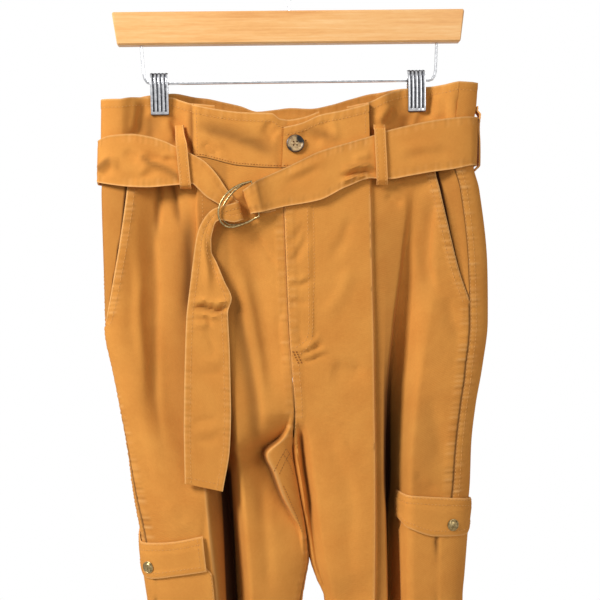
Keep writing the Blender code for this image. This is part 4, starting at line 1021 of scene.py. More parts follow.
def on_face(face, x, z):
    """The smooth ring at x with the clips' pinch but no pleats."""
    x, z = np.broadcast_arrays(np.asarray(x, float), np.asarray(z, float))
    left = x < column(SECTIONS, "in_r", z)
    outer = np.where(left, column(SECTIONS, "out_r", z), column(SECTIONS, "out_l", z))
    inner = column(SECTIONS, "in_r", z) if face == "front" else column(SECTIONS, "back_in", z)
    inner = inner - np.where(left, 1, -1) * SEAM_GAP / 2
    share = np.clip(1 - (x - outer) / (inner - outer), 0, 1)
    y = column(SECTIONS, face, z) * np.sqrt(np.clip(1 - share ** 2, 0, 1)) ** FLATNESS
    near = pinch(x, z)
    y = y * (1 - near) + PINCH_Y * near * ramp(0.0, 10.0, np.abs(x - outer))
    if face == "front":
        y = -y + soft_troughs(SOFT_FRONT, x, z) * (1 - near)
    return np.stack([x, y, z], axis=-1)


def band_columns(table):
    """The table's columns made fine: x, depth behind the ring and top height, at each small step of cloth."""
    table = np.array(table, float)
    across, behind = np.abs(np.diff(table[:, :2], axis=0)).T
    at = np.concatenate([[0], np.cumsum(across + 0.35 * behind + 0.3)])
    fine = np.array(spread(list(at), np.maximum(1, np.ceil(np.diff(at) / BAND_STEP)).astype(int)))
    depth, top = (smooth_curve(at, table[:, k], fine) for k in (1, 2))
    return np.interp(fine, at, table[:, 0]), depth, top


def band(name, face, table, seams, seed):
    x, depth, top = band_columns(table)
    v = fine_to_edges([0, 0.012, 0.035], (0.06, 0.95, 24), [0.975, 0.99, 1.0])[:, None]
    low = along(WAIST_SEAM[face], x)
    lean = -3.0 * v * (x < 0) if name == "waistband_front_l" else 0.0 * v
    z = top + (low - top) * v
    grid = on_face(face, x + lean, z)
    grid[..., 1] += depth if face == "front" else -depth
    parts = [grid]
    for side, at_start in seams:
        seam_top, seam_low = BAND_SIDE[side]
        seam_z = seam_top + (seam_low - seam_top) * v
        gap = SEAM_GAP / 2 if face == "front" else -SEAM_GAP / 2
        seam = column(SIDE_SEAM, side, seam_z) + gap
        nearest_x = (table[0] if at_start else table[-1])[0]
        nearest = np.array([[float(s_at_x(side, h, nearest_x, "smooth", face))] for h in seam_z[:, 0]])
        share = np.linspace(0, 1, 9)[:-1]
        places = seam + (nearest - seam) * share
        near_z = np.repeat(z[:, [0 if at_start else -1]], 8, axis=1)
        heights = seam_z + (near_z - seam_z) * share
        added = skin(side, heights, places, "smooth")
        parts = [added] + parts if at_start else parts + [added[:, ::-1]]
    grid = np.concatenate(parts, axis=1)
    flip = name == "waistband_front_r"
    out = grid_normals(grid, flip)
    far, _, below, above = edge_distances(grid)
    relief = 0.5 * ramp(9.5, 8.0, below) - 0.3 * bell(below, 9.0, 1.0)
    relief = relief + crease_field(grid[..., 0], grid[..., 2], CREASES.get(name, []))
    ladder = puckers(far, below, 9.0, 8.0, 0.25, seed) + puckers(far, above, 5.0, 8.0, 0.3, seed + 2)
    relief = relief + ladder
    # Paler at the edges and on pucker tops: wear and painted highlight. Darker along the drawn lines, at one
    # edge and in pucker troughs: painted shade.
    worn = 0.6 * ramp(1.8, 0.3, below) + 0.15 * ramp(1.6, 0.2, above) + 0.6 * np.clip(ladder, 0, None)
    sunk = crease_field(grid[..., 0], grid[..., 2], PAINTED_SHADE_LINES.get(name, []))
    sunk = sunk + 0.4 * ramp(1.4, 0.4, above) + 0.5 * np.clip(-ladder, 0, None)
    return cloth(name, grid, flip, out, BAND_THICK, relief, worn, sunk)


# %% [markdown]
# The belt is one long sash: a sewn end loop round the two rings, a run through the loops all the way
# round the body, a turn through the rings, and a hanging tail. A curve with a flat profile could carry it,
# but the sash leans, widens and bunches. So its two edges are typed from station to station. Where it
# touches the body, a station says how far out it lies. Where it is free, it says how far forward.

# %% The belt
# free stations: top x, z, bottom x, z, y. Stations on the front: the same, but the last is how far out.
BELT_END = rows("""
-24 -236 -19 -270 -26.8 | -33 -240.5 -27 -272 -26.8 | -43 -245.5 -37.5 -272.5 -26.8
-49 -249 -42 -273 -27.8 | -51.5 -250 -43.5 -273.5 -31.4 | -49.5 -249 -42.5 -273 -35.2
-44 -245 -38 -272.5 -36.4 | -38 -241 -32 -271.5 -35.6 | -32 -238 -26 -270 -32.6
-24 -234.5 -18 -268 -30.6 | -10 -228.5 -8 -266 -29.8 | 6 -221 6 -264 -29.2
""")
BELT_FRONT_L = rows("""
24 -213 24 -261 5.6 | 52 -204.5 52 -248 4.6 | 78 -197 77 -240 3.4 | 97 -191 97 -240.5 3.2
114 -187 114 -238 3.2 | 136 -182.5 138 -234 3.2 | 160 -179 161 -231 3.2
""")
# round the back: distance from the outer fold, top z, bottom z
BELT_ROUND = [("l", *row) for row in rows("""
14 -177 -227 | 5 -176.5 -226.5 | -4 -176.5 -226 | -14 -176.5 -226 | -30 -176.5 -226.5 | -60 -177 -228
-95 -179 -230 | -135 -181.5 -232 | -175 -183 -233.5
""")] + [("r", *row) for row in rows("""
-185 -183.5 -234 | -150 -184.5 -235 | -115 -186 -236 | -80 -188 -237 | -58 -189.5 -238 | -42 -191 -238
-26 -192 -238.5 | -14 -193.5 -238.5 | -6 -194.5 -238.5 | 2 -195.5 -235.5 | 10 -194.5 -237.5
""")]
BELT_FRONT_R = rows("""
-183 -191.5 -183 -240.5 3.2 | -163 -190.5 -163 -243.5 3.2 | -144 -193.5 -144 -244.5 3.2
-129 -198.5 -127 -243.5 3.2 | -117 -204.5 -113 -242.5 3.2 | -105 -210.5 -102 -242 3.2
-90 -219 -96 -247 3.6
""")
BELT_TAIL = rows("""
-77 -233 -88 -255 -27 | -67.5 -248 -77 -262 -27.2 | -63.5 -253 -69 -268 -27.4 | -60 -257 -60 -275 -27.6
-57.5 -260 -53 -278.5 -28.6 | -56.5 -261 -52 -279 -31.3 | -58 -261.5 -53.5 -279.5 -34
-63 -263 -61 -281.5 -35 | -69 -264.5 -68.5 -280 -35 | -75.5 -266 -74.5 -279 -34.8
-82 -268.5 -79 -281 -33.2 | -89 -275 -82 -289 -32 | -95 -285 -84 -299 -31.6 | -99 -298 -84 -309 -31.4
-102 -316 -79 -321 -31.6 | -105 -337 -72 -339 -32.2 | -108 -358 -65 -357 -33 | -110 -374 -69 -371 -33.6
-112 -408 -68 -415 -34.6 | -114 -457 -68 -461 -36 | -115 -497 -70 -503 -37.4
-115 -537.5 -78 -546.5 -38.6
""")

BELT_WIDE, BELT_THICK, BELT_OUT = 50.0, 1.7, 3.2


def on_body(side, z, s, out):
    """Where a strip lies over the body: it bridges the clips' pinch."""
    return skin(side, z, s, "bridged") + outward(side, z, s, "bridged") * np.asarray(out)[..., None]


def belt_station(row, kind):
    if kind == "free":
        return np.array([row[0], row[4], row[1]]), np.array([row[2], row[4], row[3]])
    if kind == "round":
        side, s, top, low = row
        return on_body(side, top, s, BELT_OUT), on_body(side, low, s, BELT_OUT)
    side = "r" if row[0] < -5 else "l"
    ends = [on_body(side, z, float(s_at_x(side, z, x, "bridged")), row[4]) for x, z in (row[:2], row[2:4])]
    return ends[0], ends[1]


def belt():
    run = ((BELT_END, "free"), (BELT_FRONT_L, "front"), (BELT_ROUND, "round"), (BELT_FRONT_R, "front"),
           (BELT_TAIL, "free"))
    stations = [belt_station(row, kind) for table, kind in run for row in table]
    top, low = np.array([s[0] for s in stations]), np.array([s[1] for s in stations])
    middle = (top + low) / 2
    at = run_along(middle)
    fine = [np.linspace(a, b, max(2, int((b - a) / 2.6)), endpoint=False) for a, b in zip(at[:-1], at[1:])]
    fine = np.concatenate(fine + [[at[-1]]])
    top, low = (
        np.stack([smooth_curve(at, edge[:, k], fine) for k in range(3)], axis=1) for edge in (top, low))
    across = fine_to_edges([0, 0.015, 0.04], (0.08, 0.92, 16), [0.96, 0.985, 1.0])[:, None, None]
    grid = top[None] * (1 - across) + low[None] * across
    inside = np.minimum(across[..., 0], 1 - across[..., 0]) * np.linalg.norm(top - low, axis=1)
    run = np.broadcast_to(fine, inside.shape)
    ladder = puckers(run, inside, 8.0, 5.4, 0.5, 3.0)
    relief = ladder + 0.35 * ramp(0.3, 1.8, inside) * ramp(7.5, 5.5, inside) - 0.25 * bell(inside, 6.3, 0.9)
    near = grid[..., 1] < -10
    relief = relief + crease_field(grid[..., 0], grid[..., 2], CREASES["belt"]) * near
    # Paler at the edges and on pucker tops: wear and painted highlight. Darker along the drawn lines and in
    # pucker troughs: painted shade.
    worn = 0.55 * ramp(1.7, 0.3, inside) + 0.5 * np.clip(ladder, 0, None)
    measures = run, np.broadcast_to(across[..., 0] * BELT_WIDE, run.shape)
    sunk = crease_field(grid[..., 0], grid[..., 2], PAINTED_SHADE_LINES["belt"]) * near + 0.4 * np.clip(-ladder, 0, None)
    return cloth("belt", grid, False, None, BELT_THICK, relief, worn, sunk, measures)


# %% [markdown]
# Belt loops are narrow strips folded in three and sewn at both ends, one on each pleat, at each side and
# at the middle of the back. They stand off where the belt runs under them.

# %% Belt loops
# side, face, x at top and foot, top and foot, top and foot of the belt under it, standing off
LOOPS = {
    "belt_loop_front_r": ("r", "front", -113, -108, -181, -246, -206, -242.5, 0.0),
    "belt_loop_front_l": ("l", "front", 87, 88, -185, -246, -193, -241, 0.0),
    "belt_loop_side_l": ("l", "fold", 0, 0, -165, -231, -176, -226.5, 2.2),
    "belt_loop_side_r": ("r", "fold", -34, -34, -181, -244, -191.5, -238.5, 0.0),
    "belt_loop_back": ("r", "back", -6, -6, -174, -240, -183, -234, 0.0),
}
LOOP_WIDTH, LOOP_THICK = 11.0, 1.6
SEATED = CLOTH / 2 + SEAM_GAP + LOOP_THICK / 2
OVER_BELT = BELT_OUT + 0.9 + 0.5 + LOOP_THICK / 2    # the belt's middle, half of it, and a little room


def belt_loop(name):
    side, face, x_top, x_foot, top, foot, belt_top, belt_foot, stand = LOOPS[name]
    table = [(top, SEATED), (top - 4, SEATED + 0.2),
             (belt_top + 3, OVER_BELT), (belt_top - 4, OVER_BELT + 0.4),
             ((belt_top + belt_foot) / 2, OVER_BELT + 0.6 + stand), (belt_foot, OVER_BELT + 0.2 + stand / 2),
             (belt_foot - 2.6, OVER_BELT - 1.4), (foot, SEATED)]
    heights = np.array(spread([row[0] for row in table], [3, 5, 4, 9, 9, 3, 3]))
    outs = smooth_curve([row[0] for row in table], [row[1] for row in table], heights)
    across = fine_to_edges([-0.5, -0.47, -0.4], (-0.28, 0.28, 5), [0.4, 0.47, 0.5])
    grid = []
    for z, out in zip(heights, outs):
        x = x_top + (x_foot - x_top) * (z - top) / (foot - top)
        on_cloth = x if face == "fold" else float(s_at_x(side, z, x, "smooth", face))
        bridging = x if face == "fold" else float(s_at_x(side, z, x, "bridged", face))
        low = min(1.0, max(0.0, (out - SEATED) / (OVER_BELT - SEATED)))
        s = on_cloth + across * LOOP_WIDTH
        seated = skin(side, z, s, "smooth") + outward(side, z, s, "smooth") * out
        over = on_body(side, z, bridging + across * LOOP_WIDTH, out)
        grid.append(seated * (1 - low) + over * low)
    grid = np.array(grid)
    inside = (0.5 - np.abs(across)) * LOOP_WIDTH
    relief = 0.22 * bell(inside, 4.0, 1.5) - 0.22 * bell(inside, 2.2, 0.8)
    # Paler along both edges: wear and painted highlight.
    worn = 0.4 * ramp(1.5, 0.2, inside)
    return cloth(name, grid, side == "r", None, LOOP_THICK, relief, worn)


# %% [markdown]
# Behind each slant pocket's mouth lies a facing of the same twill. A cargo pocket sits on each outer leg,
# from behind the side seam to the front: a patch with an inverted box pleat, under a flap with a cut
# corner and a snap. Patches are made from the leg's own skin, moved out, so they bend with it.

# %% Slant pocket facings
MOUTH_OPEN = {"r": 0.6, "l": 3.4}   # how wide each mouth gapes at its top


def pocket_facing(side):
    heights = np.arange(FIRST_ROW, MOUTH_END[side] - 1, -3.0)
    across = np.linspace(0, 1, 25)
    z = np.repeat(heights[:, None], len(across), axis=1)
    seam = np.array([float(column(SIDE_SEAM, side, h)) for h in heights])[:, None] + SEAM_GAP / 2
    mouth = np.array([front_edge(side, h) for h in heights])[:, None]
    s = seam + (np.maximum(mouth + 11.0, seam + 11.0) - seam) * across
    z = bent_rows(side, "front", z, s)
    out = outward(side, z, s)
    opening = MOUTH_OPEN[side] * ramp(MOUTH_END[side], -215.0, heights)[:, None]
    sink = 2.2 * ramp(0, 0.3, across) + 2.5 * ramp(14.0, 2.0, mouth - s) * ramp(0.0, 3.0, opening)
    # Painted shade: the facing is a little darker all over, and dark where it shows through the open mouth,
    # in place of the shadow inside the pocket.
    shade = 0.2 + ramp(opening + 1.4, opening + 0.2, mouth - s)
    place = skin(side, z, s) - out * sink[..., None]
    return cloth("pocket_facing_" + side, place, side == "r", out, SHEET_THICK, 0.0, 0.0, shade)


# %% Cargo pockets and flaps
POCKET = {
    # body: its top, its foot and how far the outer side hangs lower. back: how far behind the outer fold it
    # starts. short: how far the flap and the body stop before the pleat. The flap's edges are share, z.
    "l": {"body": (-578.0, -676.0, -13.0), "back": -20.0, "short": (0.0, 4.0),
          "top": [(0, -567.5), (1, -554.5)],
          "foot": [(0, -587), (0.16, -586.5), (0.27, -594), (0.37, -599.5), (0.62, -598.1), (0.75, -593.5),
                   (0.88, -584.5), (1, -580)]},
    "r": {"body": (-612.0, -710.0, -6.0), "back": -36.0, "short": (4.5, 0.0),
          "top": [(0, -583), (0.34, -590), (0.46, -597), (0.7, -596), (1, -590.5)],
          "foot": [(0, -612), (0.34, -619), (0.42, -628), (0.52, -632), (0.74, -629), (1, -625)]},
}
PATCH_THICK, PATCH_ROOM = 1.0, 0.5
POCKET_OUT = CLOTH + SEAM_GAP + PATCH_ROOM
FLAP_OUT = POCKET_OUT + CLOTH + SEAM_GAP + PATCH_ROOM


def pocket_front(side, z):
    """The pocket's front edge, as a place along the cloth."""
    x = column(PLEAT_L, "lip", z) if side == "l" else column(PLEAT_R, "edge", z) - 2.4
    return float(s_at_x(side, z, float(x)))


def patch(name, side, edges, outs, relief_of, seed, short):
    """A patch on the leg. edges gives its top and foot at each share across, outs its height down it."""
    share = fine_to_edges([0, 0.008, 0.02], (0.045, 0.955, 34), [0.98, 0.992, 1.0])
    down = fine_to_edges([0, 0.01, 0.025], (0.06, 0.94, 24), [0.975, 0.99, 1.0])
    top, foot = np.array([edges(a) for a in share]).T
    z = top + (foot - top) * down[:, None]
    heights, back = np.arange(-720, -540, 4.0), POCKET[side]["back"]
    front = np.interp(z.ravel(), heights, [pocket_front(side, h) for h in heights])
    s = back + (front.reshape(z.shape) - short - back) * share
    out = outward(side, z, s)
    grid = skin(side, z, s) + out * np.interp(down, *outs)[:, None, None]
    left, right, above, below = edge_distances(grid)
    sideways, upward = np.minimum(left, right), np.minimum(above, below)
    edge, form = np.minimum(sideways, upward), relief_of(left)
    relief = puckers(z, sideways, 7.0, 7.0, 0.25, seed) + puckers(left, upward, 7.0, 7.0, 0.25, seed)
    relief = relief + 0.4 * ramp(0.2, 1.6, edge) * ramp(8.0, 6.0, edge) + form
    # Paler at the edges: wear and painted highlight. Darker in the box pleat's folds: painted shade.
    worn, sunk = 0.45 * ramp(1.6, 0.3, edge), np.clip(-0.55 * form, 0, 0.8)
    return cloth(name, grid, side == "r", out, PATCH_THICK, relief, worn, sunk)


def cargo_pocket(side):
    size = POCKET[side]

    def body_edges(share):
        top, foot, drop = size["body"]
        corner = 12.0 * max(0.0, (0.12 - min(share, 1 - share)) / 0.12)
        hidden = 16.0 * max(0.0, (0.1 - (1 - share)) / 0.1)
        return top + drop * (1 - share) - hidden, foot + drop * (1 - share) + corner

    def flap_edges(share):
        return [float(along(size[line], share)) for line in ("top", "foot")]

    def box_pleat(left):
        fold, width = {"l": 0.60, "r": 0.52}[side], left[:, -1:]
        inner, outer = left - fold * width, left - (fold - {"l": 0.42, "r": 0.3}[side]) * width
        step = 0.9 * ramp(-1.2, 0.6, outer) * ramp(1.2, -0.6, inner)
        return step - 1.3 * bell(inner, 1.0, 1.1) - bell(outer, -1.0, 1.0)

    def plain(left):
        return 0.0 * left

    outs = ([0, 1], [POCKET_OUT, POCKET_OUT])
    patch("cargo_pocket_" + side, side, body_edges, outs, box_pleat, 21.0, size["short"][1])
    outs = ([0, 0.34, 1], [POCKET_OUT, FLAP_OUT, FLAP_OUT])
    patch("cargo_flap_" + side, side, flap_edges, outs, plain, 25.0, size["short"][0])


# %% [markdown]
# The hanger is a planed bar of pale beech under clear satin lacquer. Its hook, rod and clips are chromed
# steel. The rings and snaps are brass with a dark antique plating that rubs bright on raised places, and
# the button is cast resin made to look like horn.

# %% Wood, metal and horn
def beech_finish():
    finish, tree, shader = new_finish("lacquered_pale_beech")
    place = add(tree, "TexCoord").outputs[3]
    along_bar = add(tree, "Mapping", {0: place, 3: (6.0, 60.0, 60.0)}).outputs[0]
    bent = add(tree, "TexNoise", {0: along_bar, 2: 1.2, 3: 3.0, 4: 0.55}).outputs[0]
    fine_place = add(tree, "Mapping", {0: place, 3: (14.0, 420.0, 420.0)}).outputs[0]
    grain = add(tree, "TexNoise", {0: fine_place, 2: 1.0, 3: 4.0, 4: 0.6}).outputs[0]
    fleck_place = add(tree, "Mapping", {0: place, 3: (120.0, 900.0, 900.0)}).outputs[0]
    flecks = add(tree, "TexNoise", {0: fleck_place, 2: 1.0, 3: 2.0}).outputs[0]
    tone = add(tree, "Math", {0: bent, 1: grain}, operation="ADD").outputs[0]
    tone = add(tree, "Math", {0: flecks, 1: 0.35, 2: tone}, operation="MULTIPLY_ADD").outputs[0]
    tone = add(tree, "MapRange", {0: tone, 1: 0.8, 2: 1.55}).outputs[0]
    body = colour_ramp(tree, tone, [(0.0, "#DE9A55"), (0.5, "#EEB26C"), (1.0, "#F6C688")])
    tree.links.new(body, shader.inputs["Base Color"])
    shader.inputs["Roughness"].default_value = 0.42
    shader.inputs["Coat Weight"].default_value = 0.25
    shader.inputs["Coat Roughness"].default_value = 0.25
    bump = add(tree, "Bump", {0: 0.25, 1: 0.0004, "Height": grain}).outputs[0]
    tree.links.new(bump, shader.inputs["Normal"])
    return finish


def metal_finish(name, bright, dull, roughness, scale):
    finish, tree, shader = new_finish(name)
    cloud = add(tree, "TexNoise", {0: add(tree, "TexCoord").outputs[3], 2: scale, 3: 4.0, 4: 0.6}).outputs[0]
    body = colour_ramp(tree, cloud, [(0.35, dull), (0.65, bright)])
    tree.links.new(body, shader.inputs["Base Color"])
    rough = add(tree, "MapRange", {0: cloud, 3: roughness * 0.8, 4: roughness * 1.3}).outputs[0]
    tree.links.new(rough, shader.inputs["Roughness"])
    shader.inputs["Metallic"].default_value = 1.0
    return finish


def spot(tree, place, point, radius, soft):
    """1 near a point of the piece, 0 away from it."""
    far = add(tree, "VectorMath", {0: place, 1: Vector(point) * MM}, operation="DISTANCE").outputs["Value"]
    return add(tree, "MapRange", {0: far, 1: radius * MM, 2: (radius - soft) * MM, 3: 0.0, 4: 1.0}).outputs[0]


def horn_finish(centre):
    """Clouded beige resin with two near-black patches and a dark rim."""
    finish, tree, shader = new_finish("horn_resin")
    place = add(tree, "TexCoord").outputs[3]
    cloud = add(tree, "TexNoise", {0: place, 2: 420.0, 3: 4.0, 4: 0.6}).outputs[0]
    body = colour_ramp(tree, cloud, [(0.35, "#8E6C44"), (0.6, "#C8AB7E")])
    x, y, z = centre
    whole = spot(tree, place, (x, y, z), 10.0, 0.1)
    middle = spot(tree, place, (x, y, z), 8.4, 1.4)
    rim = add(tree, "Math", {0: whole, 1: middle}, operation="SUBTRACT").outputs[0]
    upper = spot(tree, place, (x + 6.2, y, z + 5.2), 6.2, 2.0)
    lower = spot(tree, place, (x - 6.6, y, z - 6.4), 4.6, 2.0)
    for mask, colour in ((rim, "#4A2E18"), (upper, "#0E0906"), (lower, "#1C1008")):
        body = add(tree, "Mix", {0: mask, 6: body, 7: to_linear(colour)}, data_type="RGBA").outputs[2]
    tree.links.new(body, shader.inputs["Base Color"])
    shader.inputs["Roughness"].default_value = 0.25
    return finish


def node_middle(name):
    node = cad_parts[name]
    corners = [node.matrix_world @ Vector(corner) for corner in node.bound_box]
    return sum(corners, Vector()) / 8 / MM


beech = beech_finish()
chrome = metal_finish("bright_chrome_plate", "#E2E2E4", "#C2C3C6", 0.22, 300.0)
# The clips' front jaws get a dark copy of the chrome: painted shade in the grooves between their ribs.
shaded_chrome = metal_finish("chrome_with_painted_groove_shade", "#5A5B5F", "#2C2C2F", 0.4, 300.0)
antique = metal_finish("worn_antique_brass", "#BFA878", "#7A6540", 0.3, 500.0)
BUTTON_MIDDLE = node_middle("waist_button")
horn = horn_finish(BUTTON_MIDDLE)

# The dark chrome on the front jaws is painted shade between the ribs.
for finish, nodes in ((beech, ["hanger_bar"]), (antique, ["snap_r", "snap_l"]), (horn, ["waist_button"]),
                      (chrome, ["hanger_hook", "hanger_wire", "clip_back_r", "clip_back_l"]),
                      (shaded_chrome, ["clip_front_r", "clip_front_l"])):
    for node in nodes:
        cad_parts[node].data.materials.clear()
        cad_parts[node].data.materials.append(finish)
print("metal, wood and horn", BUTTON_MIDDLE)

# %% [markdown]
# Each clip's front jaw is pressed sheet with five raised ribs and a turned foot. A rib starts as one small
# flat face, which is extruded step by step along the jaw's curve. The rings start as a copy of their solid,
# drawn thinner. The snaps and the button start as a disc whose top face is inset and raised again and again.

# %% Ribs of the clips
JAW_LINE = rows("-4.9 -128.5 | -6.8 -133 | -7.3 -139 | -7 -146 | -6 -155 | -4.9 -162 | -4.3 -168.5")
FOOT_LINE = rows("-4.3 -166.2 | -4 -169")
RIBS, RIB_WIDE, RIB_HIGH, RIB_BEVEL = 5, 2.1, 1.3, 0.35
METAL_SHARP = 38        # edges steeper than this many degrees stay crisp


def finish_piece(piece, name, finish, nodes=()):
    piece.name = name
    bpy.ops.object.mode_set(mode="OBJECT")
    bpy.ops.object.transform_apply(location=True, rotation=True, scale=True)
    bpy.ops.object.shade_smooth()
    piece.data.set_sharp_from_angle(angle=math.radians(METAL_SHARP))
    piece.data.materials.clear()
    piece.data.materials.append(finish)
    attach(piece, "root")
    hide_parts(*nodes)
    piece.select_set(False)
    return piece


def extruded(wide, high, line):
    """A bar made from one face, extruded from point to point."""
    bpy.ops.object.select_all(action="DESELECT")
    bpy.ops.mesh.primitive_plane_add(size=1.0, location=Vector(line[0]) * MM)
    bpy.ops.object.mode_set(mode="EDIT")
    bpy.ops.mesh.select_all(action="SELECT")
    bpy.ops.transform.resize(value=(wide * MM, high * MM, 1.0))
    for a, b in zip(line[:-1], line[1:]):
        step = (Vector(b) - Vector(a)) * MM
        bpy.ops.mesh.extrude_region_move(TRANSFORM_OT_translate={"value": step})
    bpy.ops.mesh.select_all(action="SELECT")
    bpy.ops.mesh.remove_doubles(threshold=1e-6)
    bpy.ops.mesh.normals_make_consistent(inside=False)
    bpy.ops.mesh.bevel(offset=RIB_BEVEL * MM, segments=2, affect="EDGES")
    bpy.ops.object.mode_set(mode="OBJECT")
    return bpy.context.object


for side in "rl":
    bars = []
    for k in range(RIBS):
        shift = (k - (RIBS - 1) / 2) * (CLIP_WIDTH - RIB_WIDE) / (RIBS - 1)
        bars.append(extruded(RIB_WIDE, RIB_HIGH, [(CLIP_AT[side] + shift, y, z) for y, z in JAW_LINE]))
    bars.append(extruded(CLIP_WIDTH - 0.6, RIB_HIGH, [(CLIP_AT[side], y, z) for y, z in FOOT_LINE]))
    for bar in bars:
        bar.select_set(True)
    bpy.context.view_layer.objects.active = bars[0]
    bpy.ops.object.join()
    clip_ribs = finish_piece(bars[0], "clip_ribs_" + side, chrome)
    print(clip_ribs.name, len(clip_ribs.data.polygons), "faces")

# %% Thin rings
RING_THINNED = 0.35     # the solid's wire is drawn thinner by this all round

for part in ("inner", "outer"):
    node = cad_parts["d_ring_" + part]
    ring = node.copy()
    ring.data = node.data.copy()
    bpy.context.scene.collection.objects.link(ring)
    ring.hide_render = False
    bpy.ops.object.select_all(action="DESELECT")
    ring.select_set(True)
    bpy.context.view_layer.objects.active = ring
    bpy.ops.object.mode_set(mode="EDIT")
    bpy.ops.mesh.select_all(action="SELECT")
    bpy.ops.mesh.remove_doubles(threshold=1e-5)
    bpy.ops.transform.shrink_fatten(value=-RING_THINNED * MM)
    finish_piece(ring, "ring_" + part, antique, ["d_ring_" + part])
    print(ring.name, len(ring.data.polygons), "faces")


# %% Snaps and button
def raised_disc(radius, height, steps, segments=40):
    """A disc whose top face is inset and moved up or down, step by step."""
    bpy.ops.object.select_all(action="DESELECT")
    bpy.ops.mesh.primitive_cylinder_add(vertices=segments, radius=radius * MM, depth=height * MM)
    piece = bpy.context.object
    bpy.ops.object.mode_set(mode="EDIT")
    bpy.ops.mesh.select_mode(type="FACE")
    bpy.ops.mesh.select_all(action="DESELECT")
    bpy.ops.object.mode_set(mode="OBJECT")
    top = max(piece.data.polygons, key=lambda face: face.center.z)
    top.select = True
    bpy.ops.object.mode_set(mode="EDIT")
    for inward, rise in steps:
        bpy.ops.mesh.inset(thickness=inward * MM, depth=0.0)
        bpy.ops.transform.translate(value=(0.0, 0.0, rise * MM))
    bpy.ops.object.mode_set(mode="OBJECT")
    return piece


def place_disc(piece, at, way):
    turn = Vector(way).to_track_quat("Z", "Y").to_matrix().to_4x4()
    piece.matrix_world = Matrix.Translation(Vector(at) * MM) @ turn


SNAP_AT = {"r": (-153.5, -621.0), "l": (150.6, -588.0)}     # x, z on the finished flap
# how far each inset goes in, and how far it then moves up
SNAP_STEPS = rows("0.35 0.3 | 0.5 0.1 | 0.3 -0.25 | 0.3 0.35 | 0.6 0.5 | 0.9 0.4 | 1 0.2 | 0.8 0.05")
BUTTON_STEPS = rows("0.5 0.5 | 0.5 0.2 | 0.7 0 | 0.6 -0.45 | 0.8 -0.25 | 1.2 -0.05")
SNAP_RADIUS, SNAP_HIGH, BUTTON_RADIUS, BUTTON_HIGH = 6.0, 0.9, 9.0, 1.4
HOLE_AT, HOLE_RADIUS = 1.7, 0.85


def lay_discs():
    for side in "rl":
        (x, z), flap = SNAP_AT[side], "cloth_cargo_flap_" + side
        places, ways = on_sheet(flap, drawn(flap, (x - 0.5, z), (x + 0.5, z))[1:2])
        snap = raised_disc(SNAP_RADIUS, SNAP_HIGH, SNAP_STEPS, 32)
        place_disc(snap, places[0] + ways[0] * 0.4, ways[0])
        finish_piece(snap, "snap_cap_" + side, antique, ["snap_" + side])
    button = raised_disc(BUTTON_RADIUS, BUTTON_HIGH, BUTTON_STEPS)
    place_disc(button, BUTTON_MIDDLE, (0.02, -1.0, 0.05))
    holes = []
    for x in (-HOLE_AT, HOLE_AT):
        for z in (-HOLE_AT, HOLE_AT):
            bpy.ops.mesh.primitive_cylinder_add(
                vertices=12, radius=HOLE_RADIUS * MM, depth=12 * MM, rotation=(math.pi / 2, 0, 0),
                location=(BUTTON_MIDDLE + Vector((x, 0, z))) * MM)
            holes.append(bpy.context.object)
    for hole in holes:
        hole.select_set(True)
    bpy.ops.object.join()
    cutter = bpy.context.object
    bpy.ops.object.select_all(action="DESELECT")
    button.select_set(True)
    bpy.context.view_layer.objects.active = button
    cut = button.modifiers.new("holes", "BOOLEAN")
    cut.operation, cut.solver, cut.object = "DIFFERENCE", "EXACT", cutter
    bpy.ops.object.modifier_apply(modifier="holes")
    bpy.data.objects.remove(cutter)
    finish_piece(button, "horn_button", horn, ["waist_button"])
    print("button faces", len(button.data.polygons))


# %% [markdown]
# Everything is ready, so the cloth is laid piece by piece, each in place of its own solid.

# %% Lay the cloth
for side in "rl":
    for face in ("front", "back"):
        leg_panel(side, face)
    pocket_facing(side)
    cargo_pocket(side)
band("waistband_front_r", "front", BAND_FRONT_R, [("r", True)], 31.0)
band("waistband_front_l", "front", BAND_FRONT_L, [("l", True)], 33.0)
band("waistband_back", "back", BAND_BACK, [("r", True), ("l", False)], 35.0)
belt()
for name in LOOPS:
    belt_loop(name)

# %% [markdown]
# Every seam that shows is topstitched. A stitch is a short lens of thread that dips into the cloth at
# both ends. A run of them follows a line on the finished cloth, a little above it. Real stitches are
# 0.4 mm thick. They are drawn at 0.8 mm, because a picture of the whole garment can't show less.

# %% Topstitching
STITCH, STITCH_GAP, THREAD_WIDE, THREAD_HIGH, THREAD_DIP = 2.6, 1.1, 0.8, 0.32, 0.1
RAY_FROM = -90.0        # y, in front of everything
BANDS = ["cloth_waistband_front_r", "cloth_waistband_front_l", "cloth_waistband_back"]
STITCH_FACES = ((0, 2, 1), (0, 3, 2), (0, 1, 3), (1, 2, 5, 4), (2, 3, 6, 5), (3, 1, 4, 6),
                (7, 4, 5), (7, 5, 6), (7, 6, 4))


def resample(points, pitch):
    far = run_along(points)
    at = np.arange(pitch / 2, far[-1] - pitch / 4, pitch)
    return np.stack([np.interp(at, far, points[:, k]) for k in range(3)], axis=1)


def on_sheet(name, line):
    """Snap a line of points to the finished cloth. Returns places and ways out."""
    piece, places, ways = SHEETS[name]["piece"], [], []
    for p in line:
        _, place, way, _ = piece.closest_point_on_mesh(Vector(p) * MM)
        places.append(np.array(place) / MM)
        ways.append(np.array(way))
    return np.array(places), np.array(ways)


